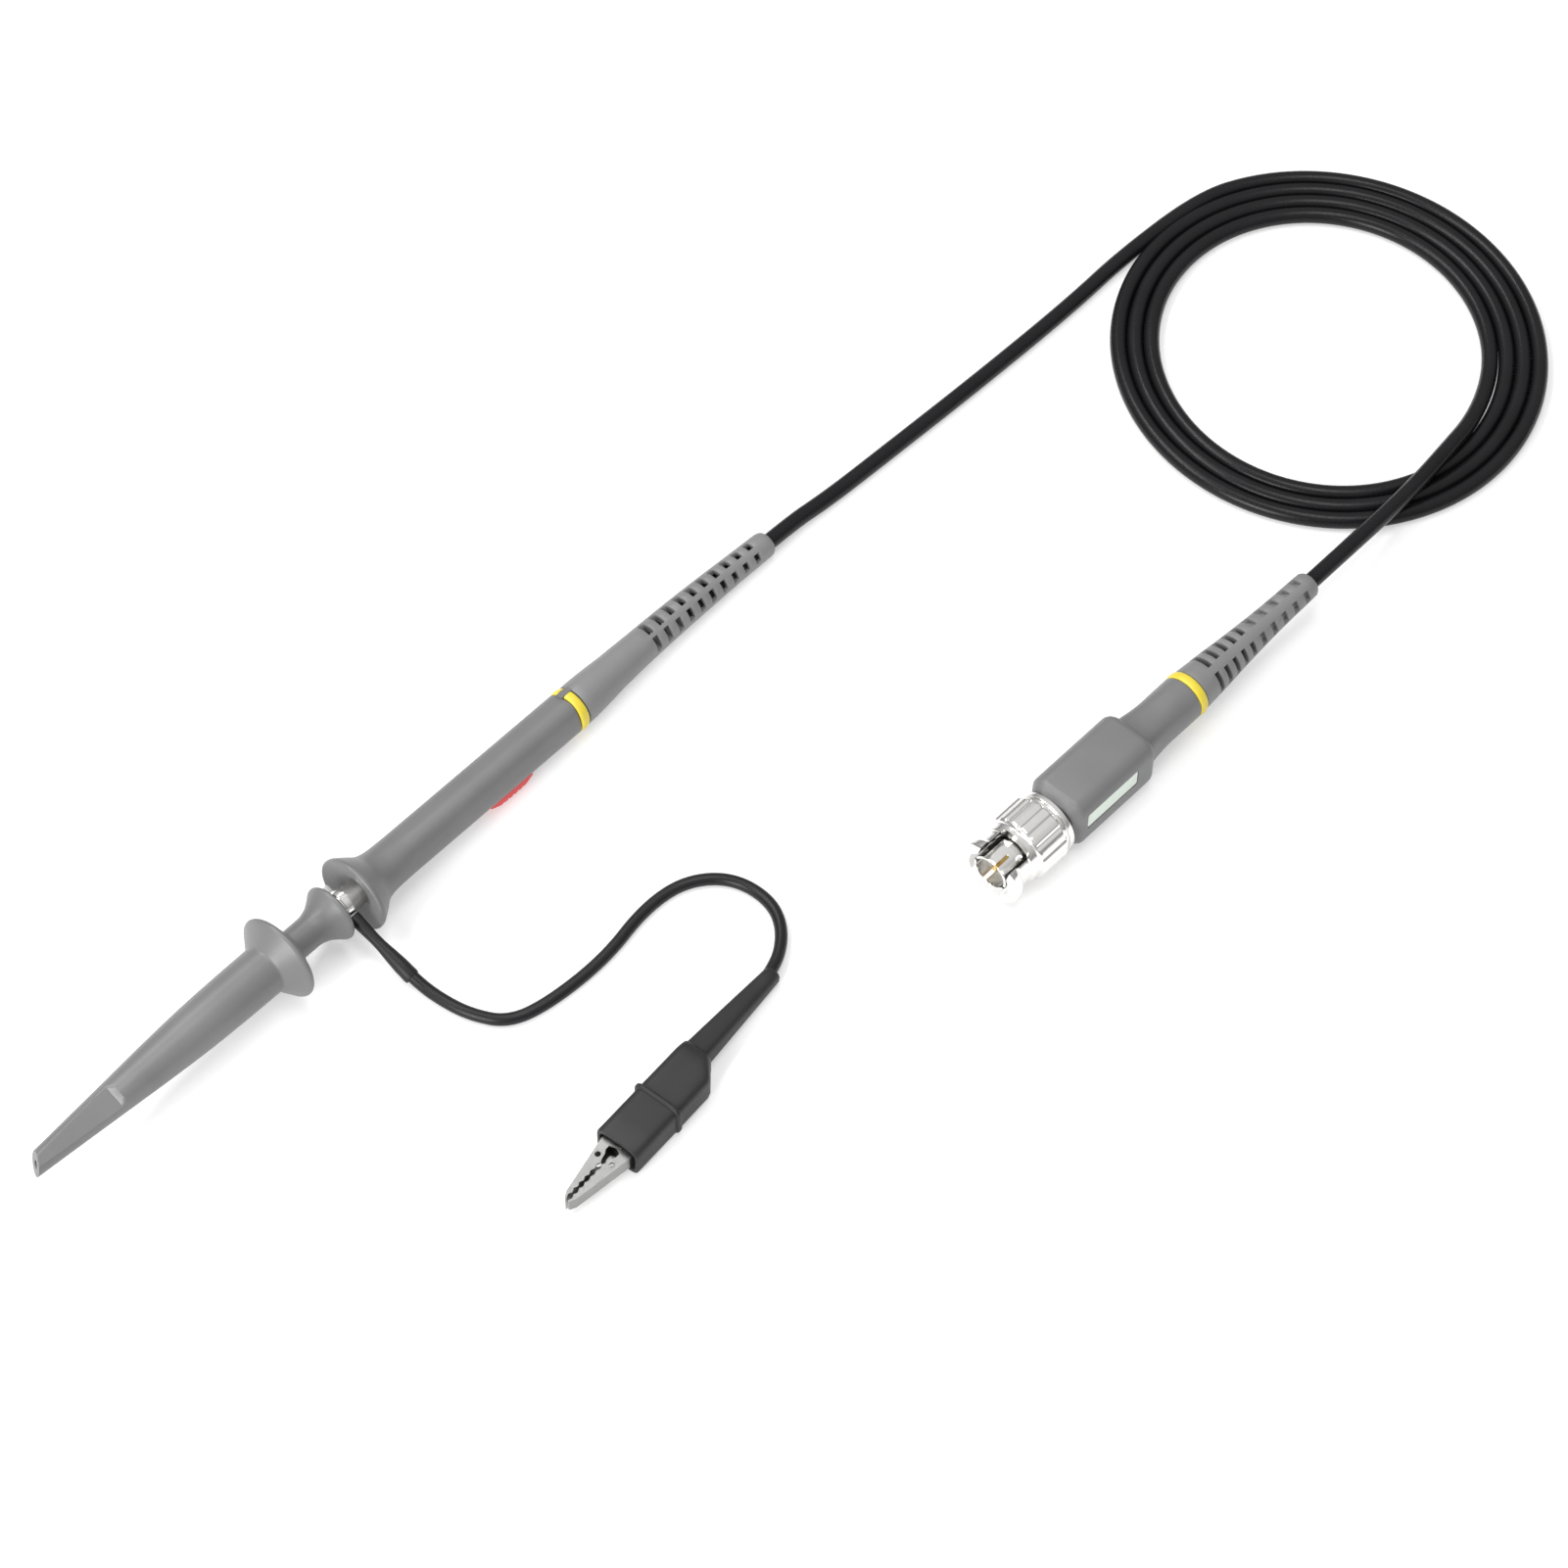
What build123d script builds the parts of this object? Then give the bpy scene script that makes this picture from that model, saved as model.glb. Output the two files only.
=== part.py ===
from build123d import *
from math import cos, degrees, pi, radians, sin, tan
import os

# Passive oscilloscope probe lying on a bench: probe head with its retractable hook, ground lead with
# an alligator clip, coiled coaxial cable and BNC connector with its compensation box.
# Millimetres. +X runs along the head from the hook tip to the cable, +Z is up and z = 0 is the bench.

# ---------------------------------------------------------------- driving dimensions
CABLE_R = 1.65
LEAD_R = 1.25
RUNNING_GAP = 0.05

# Probe head, as stations along its axis from the hook tip
HEAD_LENGTH = 200.8
HEAD_TILT = 2.6          # the head rests on its finger guard and its tail
HEAD_ROLL = 26           # the ribs of the strain relief lean this much towards -Y
NOSE_END_R = 2.1
NOSE_R = 5.1
FLANGE_R = 9.0
SLEEVE_END = 65.0
NECK_R = 3.25
COLLAR_R = 5.95
COLLAR_END = 77.0
HOOK_BORE_R = 1.5
SPRING_BORE_R = 3.95
SPRING_START, SPRING_END = 37.2, 57.8
GUARD_R = 8.15
GUARD_AT = 82.4
BODY_R = 4.56
BODY_FLAT = 4.15         # from the axis to the four flats of the grip
BODY_END = 141.5
CAVITY_R = 3.5
RING_WIDTH = 2.2
BOOT_START = 144.0
NEEDLE_R = 0.45
BARREL_R = 2.75

# Switch on the lower side of the head
SWITCH_START, SWITCH_LENGTH, SWITCH_TRAVEL = 116.6, 11.6, 3.0
SWITCH_HEIGHT = 5.3

# Connector end, as stations from the mouth of the coupling
BNC_MOUTH = (65.19, -87.14)
BNC_HEADING = -1.77
BNC_ROLL = 22            # the ribs of this strain relief lean towards -Y too
COUPLING_R = 7.25
COUPLING_END = 17.4
CONTACT_R = 4.05
GASKET_START, GASKET_SEAT_R = 7.2, 4.4
SHOULDER_R = 4.8
STEM_R = 4.6
BOX_START, BOX_END = 18.0, 41.5
BOX_SIDE, BOX_CORNER = 13.0, 3.4
BNC_RING_START = 57.2
BNC_BOOT_START = 59.4
BNC_BOOT_END = 95.7

# Ground clip, from the back of its boot towards the jaw tips
CLIP_BACK = (0.3, -72.8)
CLIP_HEADING = 182.7
CLIP_WIDTH, CLIP_HEIGHT, CLIP_LENGTH = 9.8, 7.4, 25.5
JAW_TIP = 39.8
JAW_PIVOT = 23.5
SHEET = 0.4

# Coil of the main cable
COIL_CENTRE = (214.5, -53.6)
COIL_R = 46.7
COIL_PITCH = 3.53


# ---------------------------------------------------------------- frames
def rolled(frame, angle):
    """The same frame turned about its own x axis, its height leaning towards -y."""
    return Plane(frame.origin, x_dir=frame.x_dir,
                 z_dir=frame.z_dir.rotate(Axis(frame.origin, frame.x_dir), angle))


def lengthwise(frame):
    """Plane through the frame's axis: local x is the station, local y the height above the axis."""
    return Plane(frame.origin, x_dir=frame.x_dir, z_dir=-frame.y_dir)


def across(frame, station):
    """Plane square to the frame's axis: local x is the frame's y, local y its height."""
    return Plane(frame.origin + frame.x_dir * station, x_dir=frame.y_dir, z_dir=frame.x_dir)


def layer(frame, height):
    """Plane parallel to the frame's own plane, at a height above its axis."""
    return Plane(frame.origin + frame.z_dir * height, x_dir=frame.x_dir, z_dir=frame.z_dir)


def at_station(frame, station, y=0, height=0):
    return frame.origin + frame.x_dir * station + frame.y_dir * y + frame.z_dir * height


tilt = radians(HEAD_TILT)
head_level = Plane(
    origin=(-HEAD_LENGTH / 2 * cos(tilt), 0, GUARD_R * cos(tilt) + GUARD_AT * sin(tilt)),
    x_dir=(cos(tilt), 0, -sin(tilt)), z_dir=(sin(tilt), 0, cos(tilt)))
head = rolled(head_level, HEAD_ROLL)
key_side = rolled(head, -45)
switch_side = rolled(head, 135)
bnc = Plane(origin=(*BNC_MOUTH, COUPLING_R),
            x_dir=(cos(radians(BNC_HEADING)), sin(radians(BNC_HEADING)), 0), z_dir=(0, 0, 1))
clip = Plane(origin=(*CLIP_BACK, CLIP_HEIGHT / 2),
             x_dir=(cos(radians(CLIP_HEADING)), sin(radians(CLIP_HEADING)), 0), z_dir=(0, 0, 1))


# ---------------------------------------------------------------- repeated forms
def turned(frame, *outline):
    """Piece turned about the frame's axis, from an outline of (station, radius) points."""
    with BuildPart() as piece:
        with BuildSketch(lengthwise(frame)):
            with BuildLine():
                Polyline(*outline, close=True)
            make_face()
        revolve(axis=Axis(frame.origin, frame.x_dir))
    return piece


def tube(frame, start, end, outer, inner):
    return turned(frame, (start, inner), (start, outer), (end, outer), (end, inner))


def block(frame, x, y, z):
    """Rectangular piece between two stations, two sides and two heights of a frame."""
    with BuildPart() as piece:
        with BuildSketch(layer(frame, z[0])):
            with Locations(((x[0] + x[1]) / 2, (y[0] + y[1]) / 2)):
                Rectangle(x[1] - x[0], y[1] - y[0])
        extrude(amount=z[1] - z[0])
    return piece


def corner_radii(route):
    """Largest arc at each corner that leaves a tenth of the shorter run straight."""
    points = [Vector(*p) for p in route]
    radii = []
    for before, corner, after in zip(points, points[1:], points[2:]):
        turn = radians((corner - before).get_angle(after - corner))
        shorter = min((corner - before).length, (after - corner).length)
        radii.append(0.45 * shorter / tan(turn / 2))
    return radii


def cord(name, route, radius):
    """Round cord along straight runs joined by tangent arcs."""
    radii = corner_radii(route)
    start = Vector(*route[0])
    with BuildPart() as piece:
        with BuildLine() as path:
            FilletPolyline(*route, radius=radii)
        with BuildSketch(Plane(start, z_dir=Vector(*route[1]) - start)):
            Circle(radius)
        sweep(path=path.wires()[0])
    length = path.wires()[0].length
    print(name, "length", round(length, 1), "radii", [round(r) for r in radii],
          "volume / (section x length)", round(piece.part.volume / (pi * radius ** 2 * length), 4))
    return piece


pieces = {}


# ---------------------------------------------------------------- hook adapter
with BuildPart() as hook_sleeve:
    with BuildSketch(lengthwise(head)):
        with BuildLine():
            Polyline((58.8, NOSE_R), (61.9, 8.8))
            ThreePointArc((61.9, 8.8), (62.5, FLANGE_R), (63.1, 8.7))
            Polyline((63.1, 8.7), (63.9, 5.4), (SLEEVE_END, 5.0),
                     (SLEEVE_END, NECK_R + RUNNING_GAP), (61.6, NECK_R + RUNNING_GAP),
                     (61.6, SPRING_BORE_R), (37, SPRING_BORE_R), (35, HOOK_BORE_R),
                     (-2.4, HOOK_BORE_R), (-2.4, NOSE_END_R - 0.16), (42, 4.86))
            ThreePointArc((42, 4.86), (50, 5.04), (58.8, NOSE_R))
        make_face()
    revolve(axis=Axis(head.origin, head.x_dir))
    # Flat planed on the nose, ending in a step
    with BuildSketch(lengthwise(head)):
        with BuildLine():
            Polyline((-3, 1.9), (19.2, 2.4), (20.4, 4.5), (-3, 4.5), close=True)
        make_face()
    extrude(amount=6, both=True, mode=Mode.SUBTRACT)
    # Slanted end
    with BuildSketch(layer(head, -5)):
        with BuildLine():
            Polyline((-4, -4), (-2.5, -4), (2.6, 4), (-4, 4), close=True)
        make_face()
    extrude(amount=10, mode=Mode.SUBTRACT)
pieces["hook_sleeve"] = hook_sleeve

with BuildPart() as hook_barrel:
    with BuildSketch(lengthwise(head)):
        with BuildLine():
            Polyline((70.6, NECK_R), (61.3, NECK_R), (61.3, SPRING_BORE_R - RUNNING_GAP),
                     (58, SPRING_BORE_R - RUNNING_GAP), (58, 1.52), (70.1, 1.52), (70.1, 2.0),
                     (73.4, 2.0), (73.4, BARREL_R + 0.1), (76.3, BARREL_R + 0.1), (76.3, 3.4),
                     (76.9, 5.6))
            ThreePointArc((76.9, 5.6), (76.6, COLLAR_R), (75.9, 5.85))
            ThreePointArc((75.9, 5.85), (73.9, 4.15), (70.6, NECK_R))
        make_face()
    revolve(axis=Axis(head.origin, head.x_dir))
pieces["hook_barrel"] = hook_barrel

pieces["hook_socket"] = turned(head, (56, 0), (56, 1.5), (70, 1.5), (70, NEEDLE_R + 0.1),
                               (59.5, NEEDLE_R + 0.1), (59.5, 0))

with BuildPart() as hook_wire:
    with BuildLine(lengthwise(head)) as hook_path:
        shank = Line((56, 0), (2.8, 0))
        bend = ThreePointArc((2.8, 0), (2.3, 0.5), (2.8, 1.0))
        barb = Line((2.8, 1.0), (4.8, 1.0))
    with BuildSketch(across(head, 56)):
        Circle(0.38)
    sweep(path=hook_path.wires()[0])
pieces["hook_wire"] = hook_wire

with BuildPart() as hook_spring:
    with BuildLine() as spring_path:
        Helix(pitch=(SPRING_END - SPRING_START - 0.7) / 8, height=SPRING_END - SPRING_START - 0.7,
              radius=3.2, center=at_station(head, SPRING_START + 0.35), direction=head.x_dir)
    with BuildSketch(Plane(spring_path.edges()[0] @ 0, z_dir=spring_path.edges()[0] % 0)):
        Circle(0.3)
    sweep(path=spring_path.wires()[0], is_frenet=True)
pieces["hook_spring"] = hook_spring


# ---------------------------------------------------------------- probe tip
pieces["tip_needle"] = turned(head, (62, 0), (64.2, NEEDLE_R), (80, NEEDLE_R), (80, 0))
pieces["tip_insulator"] = turned(head, (70.5, NEEDLE_R), (70.5, 1.7), (71, 1.9), (84.5, 1.9),
                                 (84.5, 0), (80, 0), (80, NEEDLE_R))
RING_SEAT = (78.3, 79.9)
pieces["ground_barrel"] = turned(
    head, (74, 1.9), (74, 2.55), (74.3, BARREL_R), (RING_SEAT[0], BARREL_R), (RING_SEAT[0], 2.5),
    (RING_SEAT[1], 2.5), (RING_SEAT[1], BARREL_R), (86, BARREL_R), (86, 3.3), (87.5, 3.3),
    (87.5, 1.9))


# ---------------------------------------------------------------- probe body
with BuildPart() as probe_body:
    with BuildSketch(lengthwise(head)):
        with BuildLine():
            ThreePointArc((81.9, 7.8), (82.4, GUARD_R), (83.1, 7.95))
            ThreePointArc((83.1, 7.95), (86.3, 5.5), (92, BODY_R))
            Polyline((92, BODY_R), (BODY_END, BODY_R), (BODY_END, CAVITY_R), (86, CAVITY_R),
                     (86, BARREL_R), (83.4, BARREL_R), (82.6, 4.6))
            Line((82.6, 4.6), (81.9, 7.8))
        make_face()
    revolve(axis=Axis(head.origin, head.x_dir))
    # Four flats along the grip
    for side in range(4):
        with BuildSketch(layer(rolled(head, 45 + 90 * side), BODY_FLAT)):
            with Locations(((96 + BODY_END) / 2, 0)):
                Rectangle(BODY_END + 1 - 96, 8)
        extrude(amount=2, mode=Mode.SUBTRACT)
    # Key that closes the colour ring's gap
    with BuildSketch(layer(key_side, 4.0)):
        with Locations(((BODY_END + BOOT_START) / 2 - 0.5, 0)):
            Rectangle(BOOT_START - BODY_END + 1, 1.7)
    extrude(amount=0.5)
    # Switch pad and window
    with BuildSketch(layer(switch_side, 3.9)):
        with Locations((SWITCH_START + (SWITCH_LENGTH + SWITCH_TRAVEL) / 2, 0)):
            Rectangle(SWITCH_LENGTH + SWITCH_TRAVEL + 1.2, 5.4)
    extrude(amount=2, mode=Mode.SUBTRACT)
    with BuildSketch(layer(switch_side, 2)):
        with Locations((SWITCH_START + 7.3, 0)):
            Rectangle(8, 2.6)
    extrude(amount=4, mode=Mode.SUBTRACT)
pieces["probe_body"] = probe_body

with BuildPart() as shield_tube:
    with BuildSketch(across(head, 88)):
        Circle(CAVITY_R - RUNNING_GAP)
        Circle(CAVITY_R - 0.3, mode=Mode.SUBTRACT)
    extrude(amount=43)
    with BuildSketch(layer(switch_side, 1)):
        with Locations((SWITCH_START + 7.3, 0)):
            Rectangle(13, 4.6)
    extrude(amount=4, mode=Mode.SUBTRACT)
pieces["shield_tube"] = shield_tube

pieces["attenuator_board"] = block(switch_side, (89, 130), (-2.9, 2.9), (-0.4, 0.4))
pieces["attenuator_resistor"] = turned(
    Plane(at_station(switch_side, 0, 0, 1.35), x_dir=head.x_dir, z_dir=switch_side.z_dir),
    (92, 0), (92, 0.25), (94, 0.25), (94, 0.9), (101, 0.9), (101, 0.25), (103, 0.25), (103, 0))
pieces["attenuator_capacitor"] = block(switch_side, (105, 109), (-1.3, 1.3), (0.4, 2.0))

with BuildPart() as switch_base:
    with BuildSketch(layer(switch_side, 0.4)):
        with Locations((SWITCH_START + 7.3, 0)):
            Rectangle(12, 4.0)
    extrude(amount=2.0)
    with BuildSketch(layer(switch_side, 1.0)):
        with Locations((SWITCH_START + 7.3, 0)):
            Rectangle(8, 2.6)
    extrude(amount=2, mode=Mode.SUBTRACT)
pieces["switch_base"] = switch_base

knob_frame = Plane(at_station(switch_side, SWITCH_START), x_dir=head.x_dir,
                   z_dir=switch_side.z_dir)
with BuildPart() as switch_knob:
    with BuildSketch(lengthwise(knob_frame)):
        with BuildLine():
            Polyline((2.2, 5.15), (0, 4.4), (0, 4.0), (SWITCH_LENGTH, 4.0), (SWITCH_LENGTH, 4.4),
                     (9.4, 5.15))
            ThreePointArc((9.4, 5.15), (SWITCH_LENGTH / 2, SWITCH_HEIGHT), (2.2, 5.15))
        make_face()
    extrude(amount=2.4, both=True)
    # Thumb grooves across the cap
    with BuildSketch(lengthwise(knob_frame)):
        with Locations(*[(3.1 + 1.35 * i, 5.45) for i in range(5)]):
            Circle(0.35)
    extrude(amount=3, both=True, mode=Mode.SUBTRACT)
    # Stem that reaches the contacts
    with BuildSketch(layer(knob_frame, 1.5)):
        with Locations((SWITCH_LENGTH / 2, 0)):
            Rectangle(4, 2)
    extrude(amount=2.5)
pieces["switch_knob"] = switch_knob
pieces["switch_wiper"] = block(knob_frame, (4.2, 7.4), (-0.8, 0.8), (1.1, 1.5))

with BuildPart() as body_ring:
    with BuildSketch(across(head, BODY_END + 0.15)):
        Circle(4.68)
        Circle(4.0, mode=Mode.SUBTRACT)
    extrude(amount=RING_WIDTH)
    with BuildSketch(layer(key_side, 1)):
        with Locations((BODY_END + 1, 0)):
            Rectangle(6, 1.8)
    extrude(amount=6, mode=Mode.SUBTRACT)
pieces["body_ring"] = body_ring


# ---------------------------------------------------------------- strain reliefs
def relief_slots(frame, rows, stations, width, radius_at, half_span, taper, floor):
    """Rows of slots across a strain relief, each slot a little narrower than the last."""
    for i, station in enumerate(stations):
        outer = radius_at(station)
        half_angle = radians(half_span - taper * i)
        for angle in rows:
            with BuildPart(mode=Mode.PRIVATE) as slot:
                with BuildSketch(layer(rolled(frame, angle), floor)):
                    with Locations((station, 0)):
                        Rectangle(width, 2 * outer * sin(half_angle))
                extrude(amount=outer)
            yield slot.part


def head_boot_radius(station):
    return 3.6 - (station - 165) * 0.0235


def bnc_boot_radius(station):
    return 4.45 - (station - 63.5) * 0.075 if station < 78 else 3.36 - (station - 78) * 0.03


head_slots = [165.9 + 3.32 * i for i in range(10)]
deep_slots = [64.1 + 2.73 * i for i in range(5)]
shallow_slots = [78.3 + 3.48 * i for i in range(5)]
head_rows = (36, 144, 216, 324)
bnc_rows = (45, 135, 225, 315)
head_slot_parts = list(relief_slots(head, head_rows, head_slots, 1.4, head_boot_radius, 27, 0.8, 1.3))
bnc_ribs = rolled(bnc, BNC_ROLL)
bnc_slot_parts = list(relief_slots(bnc_ribs, bnc_rows, deep_slots, 1.2, bnc_boot_radius, 31, 1, 1.3))
bnc_groove_parts = list(relief_slots(bnc_ribs, bnc_rows, shallow_slots, 1.4, bnc_boot_radius, 26, 0, 2.2))

with BuildPart() as probe_boot:
    with BuildSketch(lengthwise(head)):
        with BuildLine():
            Polyline((BOOT_START, 4.52), (BOOT_START, 3.95), (BODY_END, 3.95),
                     (BODY_END, CAVITY_R - RUNNING_GAP), (133, CAVITY_R - RUNNING_GAP), (133, 2.3),
                     (159, 2.3), (159, CABLE_R + RUNNING_GAP), (HEAD_LENGTH, CABLE_R + RUNNING_GAP),
                     (HEAD_LENGTH, 2.45))
            ThreePointArc((HEAD_LENGTH, 2.45), (200.6, 2.65), (200.2, 2.75))
            Polyline((200.2, 2.75), (165, 3.6))
            ThreePointArc((165, 3.6), (155, 3.98), (148, 4.42))
            Line((148, 4.42), (BOOT_START, 4.52))
        make_face()
    revolve(axis=Axis(head.origin, head.x_dir))
    for slot in head_slot_parts:
        add(slot, mode=Mode.SUBTRACT)
    # Seat of the key
    with BuildSketch(layer(key_side, 3.9)):
        with Locations((BOOT_START - 1, 0)):
            Rectangle(2.2, 1.8)
    extrude(amount=1, mode=Mode.SUBTRACT)
pieces["probe_boot"] = probe_boot
pieces["probe_ferrule"] = tube(head, 151, 158, 2.2, CABLE_R)
pieces["cable_core"] = turned(head, (130, 0), (130, 0.35), (149, 0.35), (149, 0))


# ---------------------------------------------------------------- connector
CHAMBER = (8.9, 12.35)
with BuildPart() as bnc_coupling:
    with BuildSketch(lengthwise(bnc)):
        with BuildLine():
            Polyline((0, 4.9), (0, 6.9), (0.3, 7.2), (2.2, 7.2), (2.8, 5.95), (5.6, 5.95),
                     (6.0, 6.5), (7.7, 6.5), (8.1, COUPLING_R), (14.9, COUPLING_R), (15.3, 6.4),
                     (16.1, 6.4), (16.3, 6.8), (COUPLING_END, 6.7), (COUPLING_END, 6.0),
                     (13.6, 6.0), (13.6, STEM_R + RUNNING_GAP),
                     (CHAMBER[1], STEM_R + RUNNING_GAP), (CHAMBER[1], 6.0), (CHAMBER[0], 6.0),
                     (CHAMBER[0], 4.9), close=True)
        make_face()
    revolve(axis=Axis(bnc.origin, bnc.x_dir))
    # Two bayonet openings, opposite each other
    with BuildSketch(layer(rolled(bnc, 14), -8)):
        with Locations((3.2, 0)):
            Rectangle(6.8, 7.4)
    extrude(amount=16, mode=Mode.SUBTRACT)
    # Flutes of the grip
    with BuildSketch(across(bnc, 8.4)):
        with PolarLocations(COUPLING_R + 0.55, 16):
            Circle(0.8)
    extrude(amount=7, mode=Mode.SUBTRACT)
pieces["bnc_coupling"] = bnc_coupling

with BuildPart() as bnc_contact:
    with BuildSketch(lengthwise(bnc)):
        with BuildLine():
            Polyline((0.4, 3.45), (0.4, CONTACT_R), (GASKET_START - 0.1, CONTACT_R),
                     (GASKET_START - 0.1, GASKET_SEAT_R), (8.0, GASKET_SEAT_R), (8.0, SHOULDER_R),
                     (9.9, SHOULDER_R), (9.9, STEM_R), (13.7, STEM_R), (13.7, 4.3), (14.4, 4.3),
                     (14.4, STEM_R), (22.5, STEM_R), (22.5, 1.2), (21.2, 1.2), (21.2, 3.45),
                     close=True)
        make_face()
    revolve(axis=Axis(bnc.origin, bnc.x_dir))
    # Spring slots of the outer contact
    for side in range(2):
        with BuildSketch(layer(rolled(bnc, BNC_ROLL + 90 * side), -6)):
            with Locations((1.7, 0)):
                Rectangle(4.6, 0.7)
        extrude(amount=12, mode=Mode.SUBTRACT)
pieces["bnc_contact"] = bnc_contact
pieces["bnc_dielectric"] = tube(bnc, 6.2, 21.2, 3.45, 0.9)
pieces["bnc_pin"] = turned(bnc, (1.4, 0), (1.7, 0.5), (2.2, 0.675), (6.3, 0.675), (6.3, 0.9),
                           (23.4, 0.9), (23.4, 0))
pieces["bnc_gasket"] = tube(bnc, GASKET_START, 8.0, 4.75, GASKET_SEAT_R)
pieces["bnc_thrust_washer"] = tube(bnc, 11.9, 12.33, 5.9, STEM_R + RUNNING_GAP)
pieces["bnc_circlip"] = tube(bnc, 13.7, 14.4, 5.5, 4.3)

with BuildPart() as bnc_wave_washer:
    with BuildSketch(across(bnc, 9.95)):
        Circle(5.8)
        Circle(4.7, mode=Mode.SUBTRACT)
    extrude(amount=1.9)
    # Three waves on each face
    for side in range(3):
        with BuildSketch(layer(rolled(bnc, 120 * side), 0)):
            with Locations((9.95, 0)):
                Ellipse(1.5, 2.4)
        extrude(amount=7, mode=Mode.SUBTRACT)
        with BuildSketch(layer(rolled(bnc, 60 + 120 * side), 0)):
            with Locations((11.85, 0)):
                Ellipse(1.5, 2.4)
        extrude(amount=7, mode=Mode.SUBTRACT)
pieces["bnc_wave_washer"] = bnc_wave_washer


# ---------------------------------------------------------------- compensation box
LABEL = (21.4, 36.2, -3.3, 0.9)
TRIMMER_AT = 30.0
with BuildPart() as compensation_box:
    with BuildSketch(across(bnc, BOX_START)):
        RectangleRounded(BOX_SIDE, BOX_SIDE, BOX_CORNER)
    extrude(amount=BOX_END - BOX_START)
    chamfer(compensation_box.faces().sort_by(Axis(bnc.origin, bnc.x_dir))[0].edges(), 1.3)
    chamfer(compensation_box.faces().sort_by(Axis(bnc.origin, bnc.x_dir))[-1].edges(), 0.7)
    with BuildSketch(across(bnc, BOX_START + 2.2)):
        RectangleRounded(BOX_SIDE - 2.6, BOX_SIDE - 2.6, BOX_CORNER - 1.3)
    extrude(amount=BOX_END - BOX_START - 4.2, mode=Mode.SUBTRACT)
    with BuildSketch(across(bnc, BOX_START)):
        Circle(STEM_R)
    extrude(amount=3, mode=Mode.SUBTRACT)
    with BuildSketch(across(bnc, BOX_END - 3)):
        Circle(5.0)
    extrude(amount=4, mode=Mode.SUBTRACT)
    # Recess of the blank label, on the -Y face
    with BuildSketch(layer(rolled(bnc, 90), BOX_SIDE / 2 - 0.5)):
        with Locations(((LABEL[0] + LABEL[1]) / 2, -(LABEL[2] + LABEL[3]) / 2)):
            Rectangle(LABEL[1] - LABEL[0], LABEL[3] - LABEL[2])
    extrude(amount=2, mode=Mode.SUBTRACT)
    # Screwdriver hole over the trimmer, on the +Y face
    with BuildSketch(layer(rolled(bnc, -90), 4)):
        with Locations((TRIMMER_AT, 0)):
            Circle(1.35)
    extrude(amount=4, mode=Mode.SUBTRACT)
pieces["compensation_box"] = compensation_box
pieces["label_plate"] = block(rolled(bnc, 90), (LABEL[0] + 0.1, LABEL[1] - 0.1),
                              (-LABEL[3] + 0.1, -LABEL[2] - 0.1),
                              (BOX_SIDE / 2 - 0.5, BOX_SIDE / 2 - 0.15))

trimmer_side = rolled(bnc, -90)
pieces["compensation_board"] = block(trimmer_side, (24, 39), (-4.2, 4.2), (-0.6, 0.2))
pieces["compensation_resistor"] = block(trimmer_side, (34, 37.5), (-1, 1), (0.2, 1.1))
with BuildPart() as trimmer_base:
    with BuildSketch(layer(trimmer_side, 0.2)):
        with Locations((TRIMMER_AT, 0)):
            RectangleRounded(5, 5, 0.6)
    extrude(amount=3.4)
    with BuildSketch(layer(trimmer_side, 2.4)):
        with Locations((TRIMMER_AT, 0)):
            Circle(1.65)
    extrude(amount=2, mode=Mode.SUBTRACT)
pieces["trimmer_base"] = trimmer_base
with BuildPart() as trimmer_rotor:
    with BuildSketch(layer(trimmer_side, 2.45)):
        with Locations((TRIMMER_AT, 0)):
            Circle(1.6)
    extrude(amount=1.9)
    with BuildSketch(layer(trimmer_side, 3.7)):
        with Locations((TRIMMER_AT, 0)):
            Rectangle(4, 0.5)
    extrude(amount=2, mode=Mode.SUBTRACT)
pieces["trimmer_rotor"] = trimmer_rotor

with BuildPart() as compensation_neck:
    with BuildSketch(lengthwise(bnc)):
        with BuildLine():
            Polyline((BOX_END, 5.0), (39.4, 5.0), (39.4, 3.2), (57.1, 3.2), (57.1, 4.75), (55, 4.78))
            ThreePointArc((55, 4.78), (47.6, 5.1), (BOX_END, 5.85))
            Line((BOX_END, 5.85), (BOX_END, 5.0))
        make_face()
    revolve(axis=Axis(bnc.origin, bnc.x_dir))
pieces["compensation_neck"] = compensation_neck
pieces["bnc_ring"] = tube(bnc, BNC_RING_START, BNC_RING_START + RING_WIDTH, 4.95, 4.1)

with BuildPart() as bnc_boot:
    with BuildSketch(lengthwise(bnc)):
        with BuildLine():
            Polyline((BNC_BOOT_START, 4.72), (BNC_BOOT_START, 4.08), (57.1, 4.08), (57.1, 3.15),
                     (50, 3.15), (50, 2.3), (62, 2.3), (62, CABLE_R + RUNNING_GAP),
                     (BNC_BOOT_END, CABLE_R + RUNNING_GAP), (BNC_BOOT_END, 2.5))
            ThreePointArc((BNC_BOOT_END, 2.5), (95.5, 2.7), (95.1, 2.8))
            Polyline((95.1, 2.8), (78, 3.36), (63.5, 4.45), (BNC_BOOT_START, 4.72))
        make_face()
    revolve(axis=Axis(bnc.origin, bnc.x_dir))
    for slot in bnc_slot_parts + bnc_groove_parts:
        add(slot, mode=Mode.SUBTRACT)
pieces["bnc_boot"] = bnc_boot
pieces["bnc_ferrule"] = tube(bnc, 53, 59, 2.2, CABLE_R)


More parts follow.
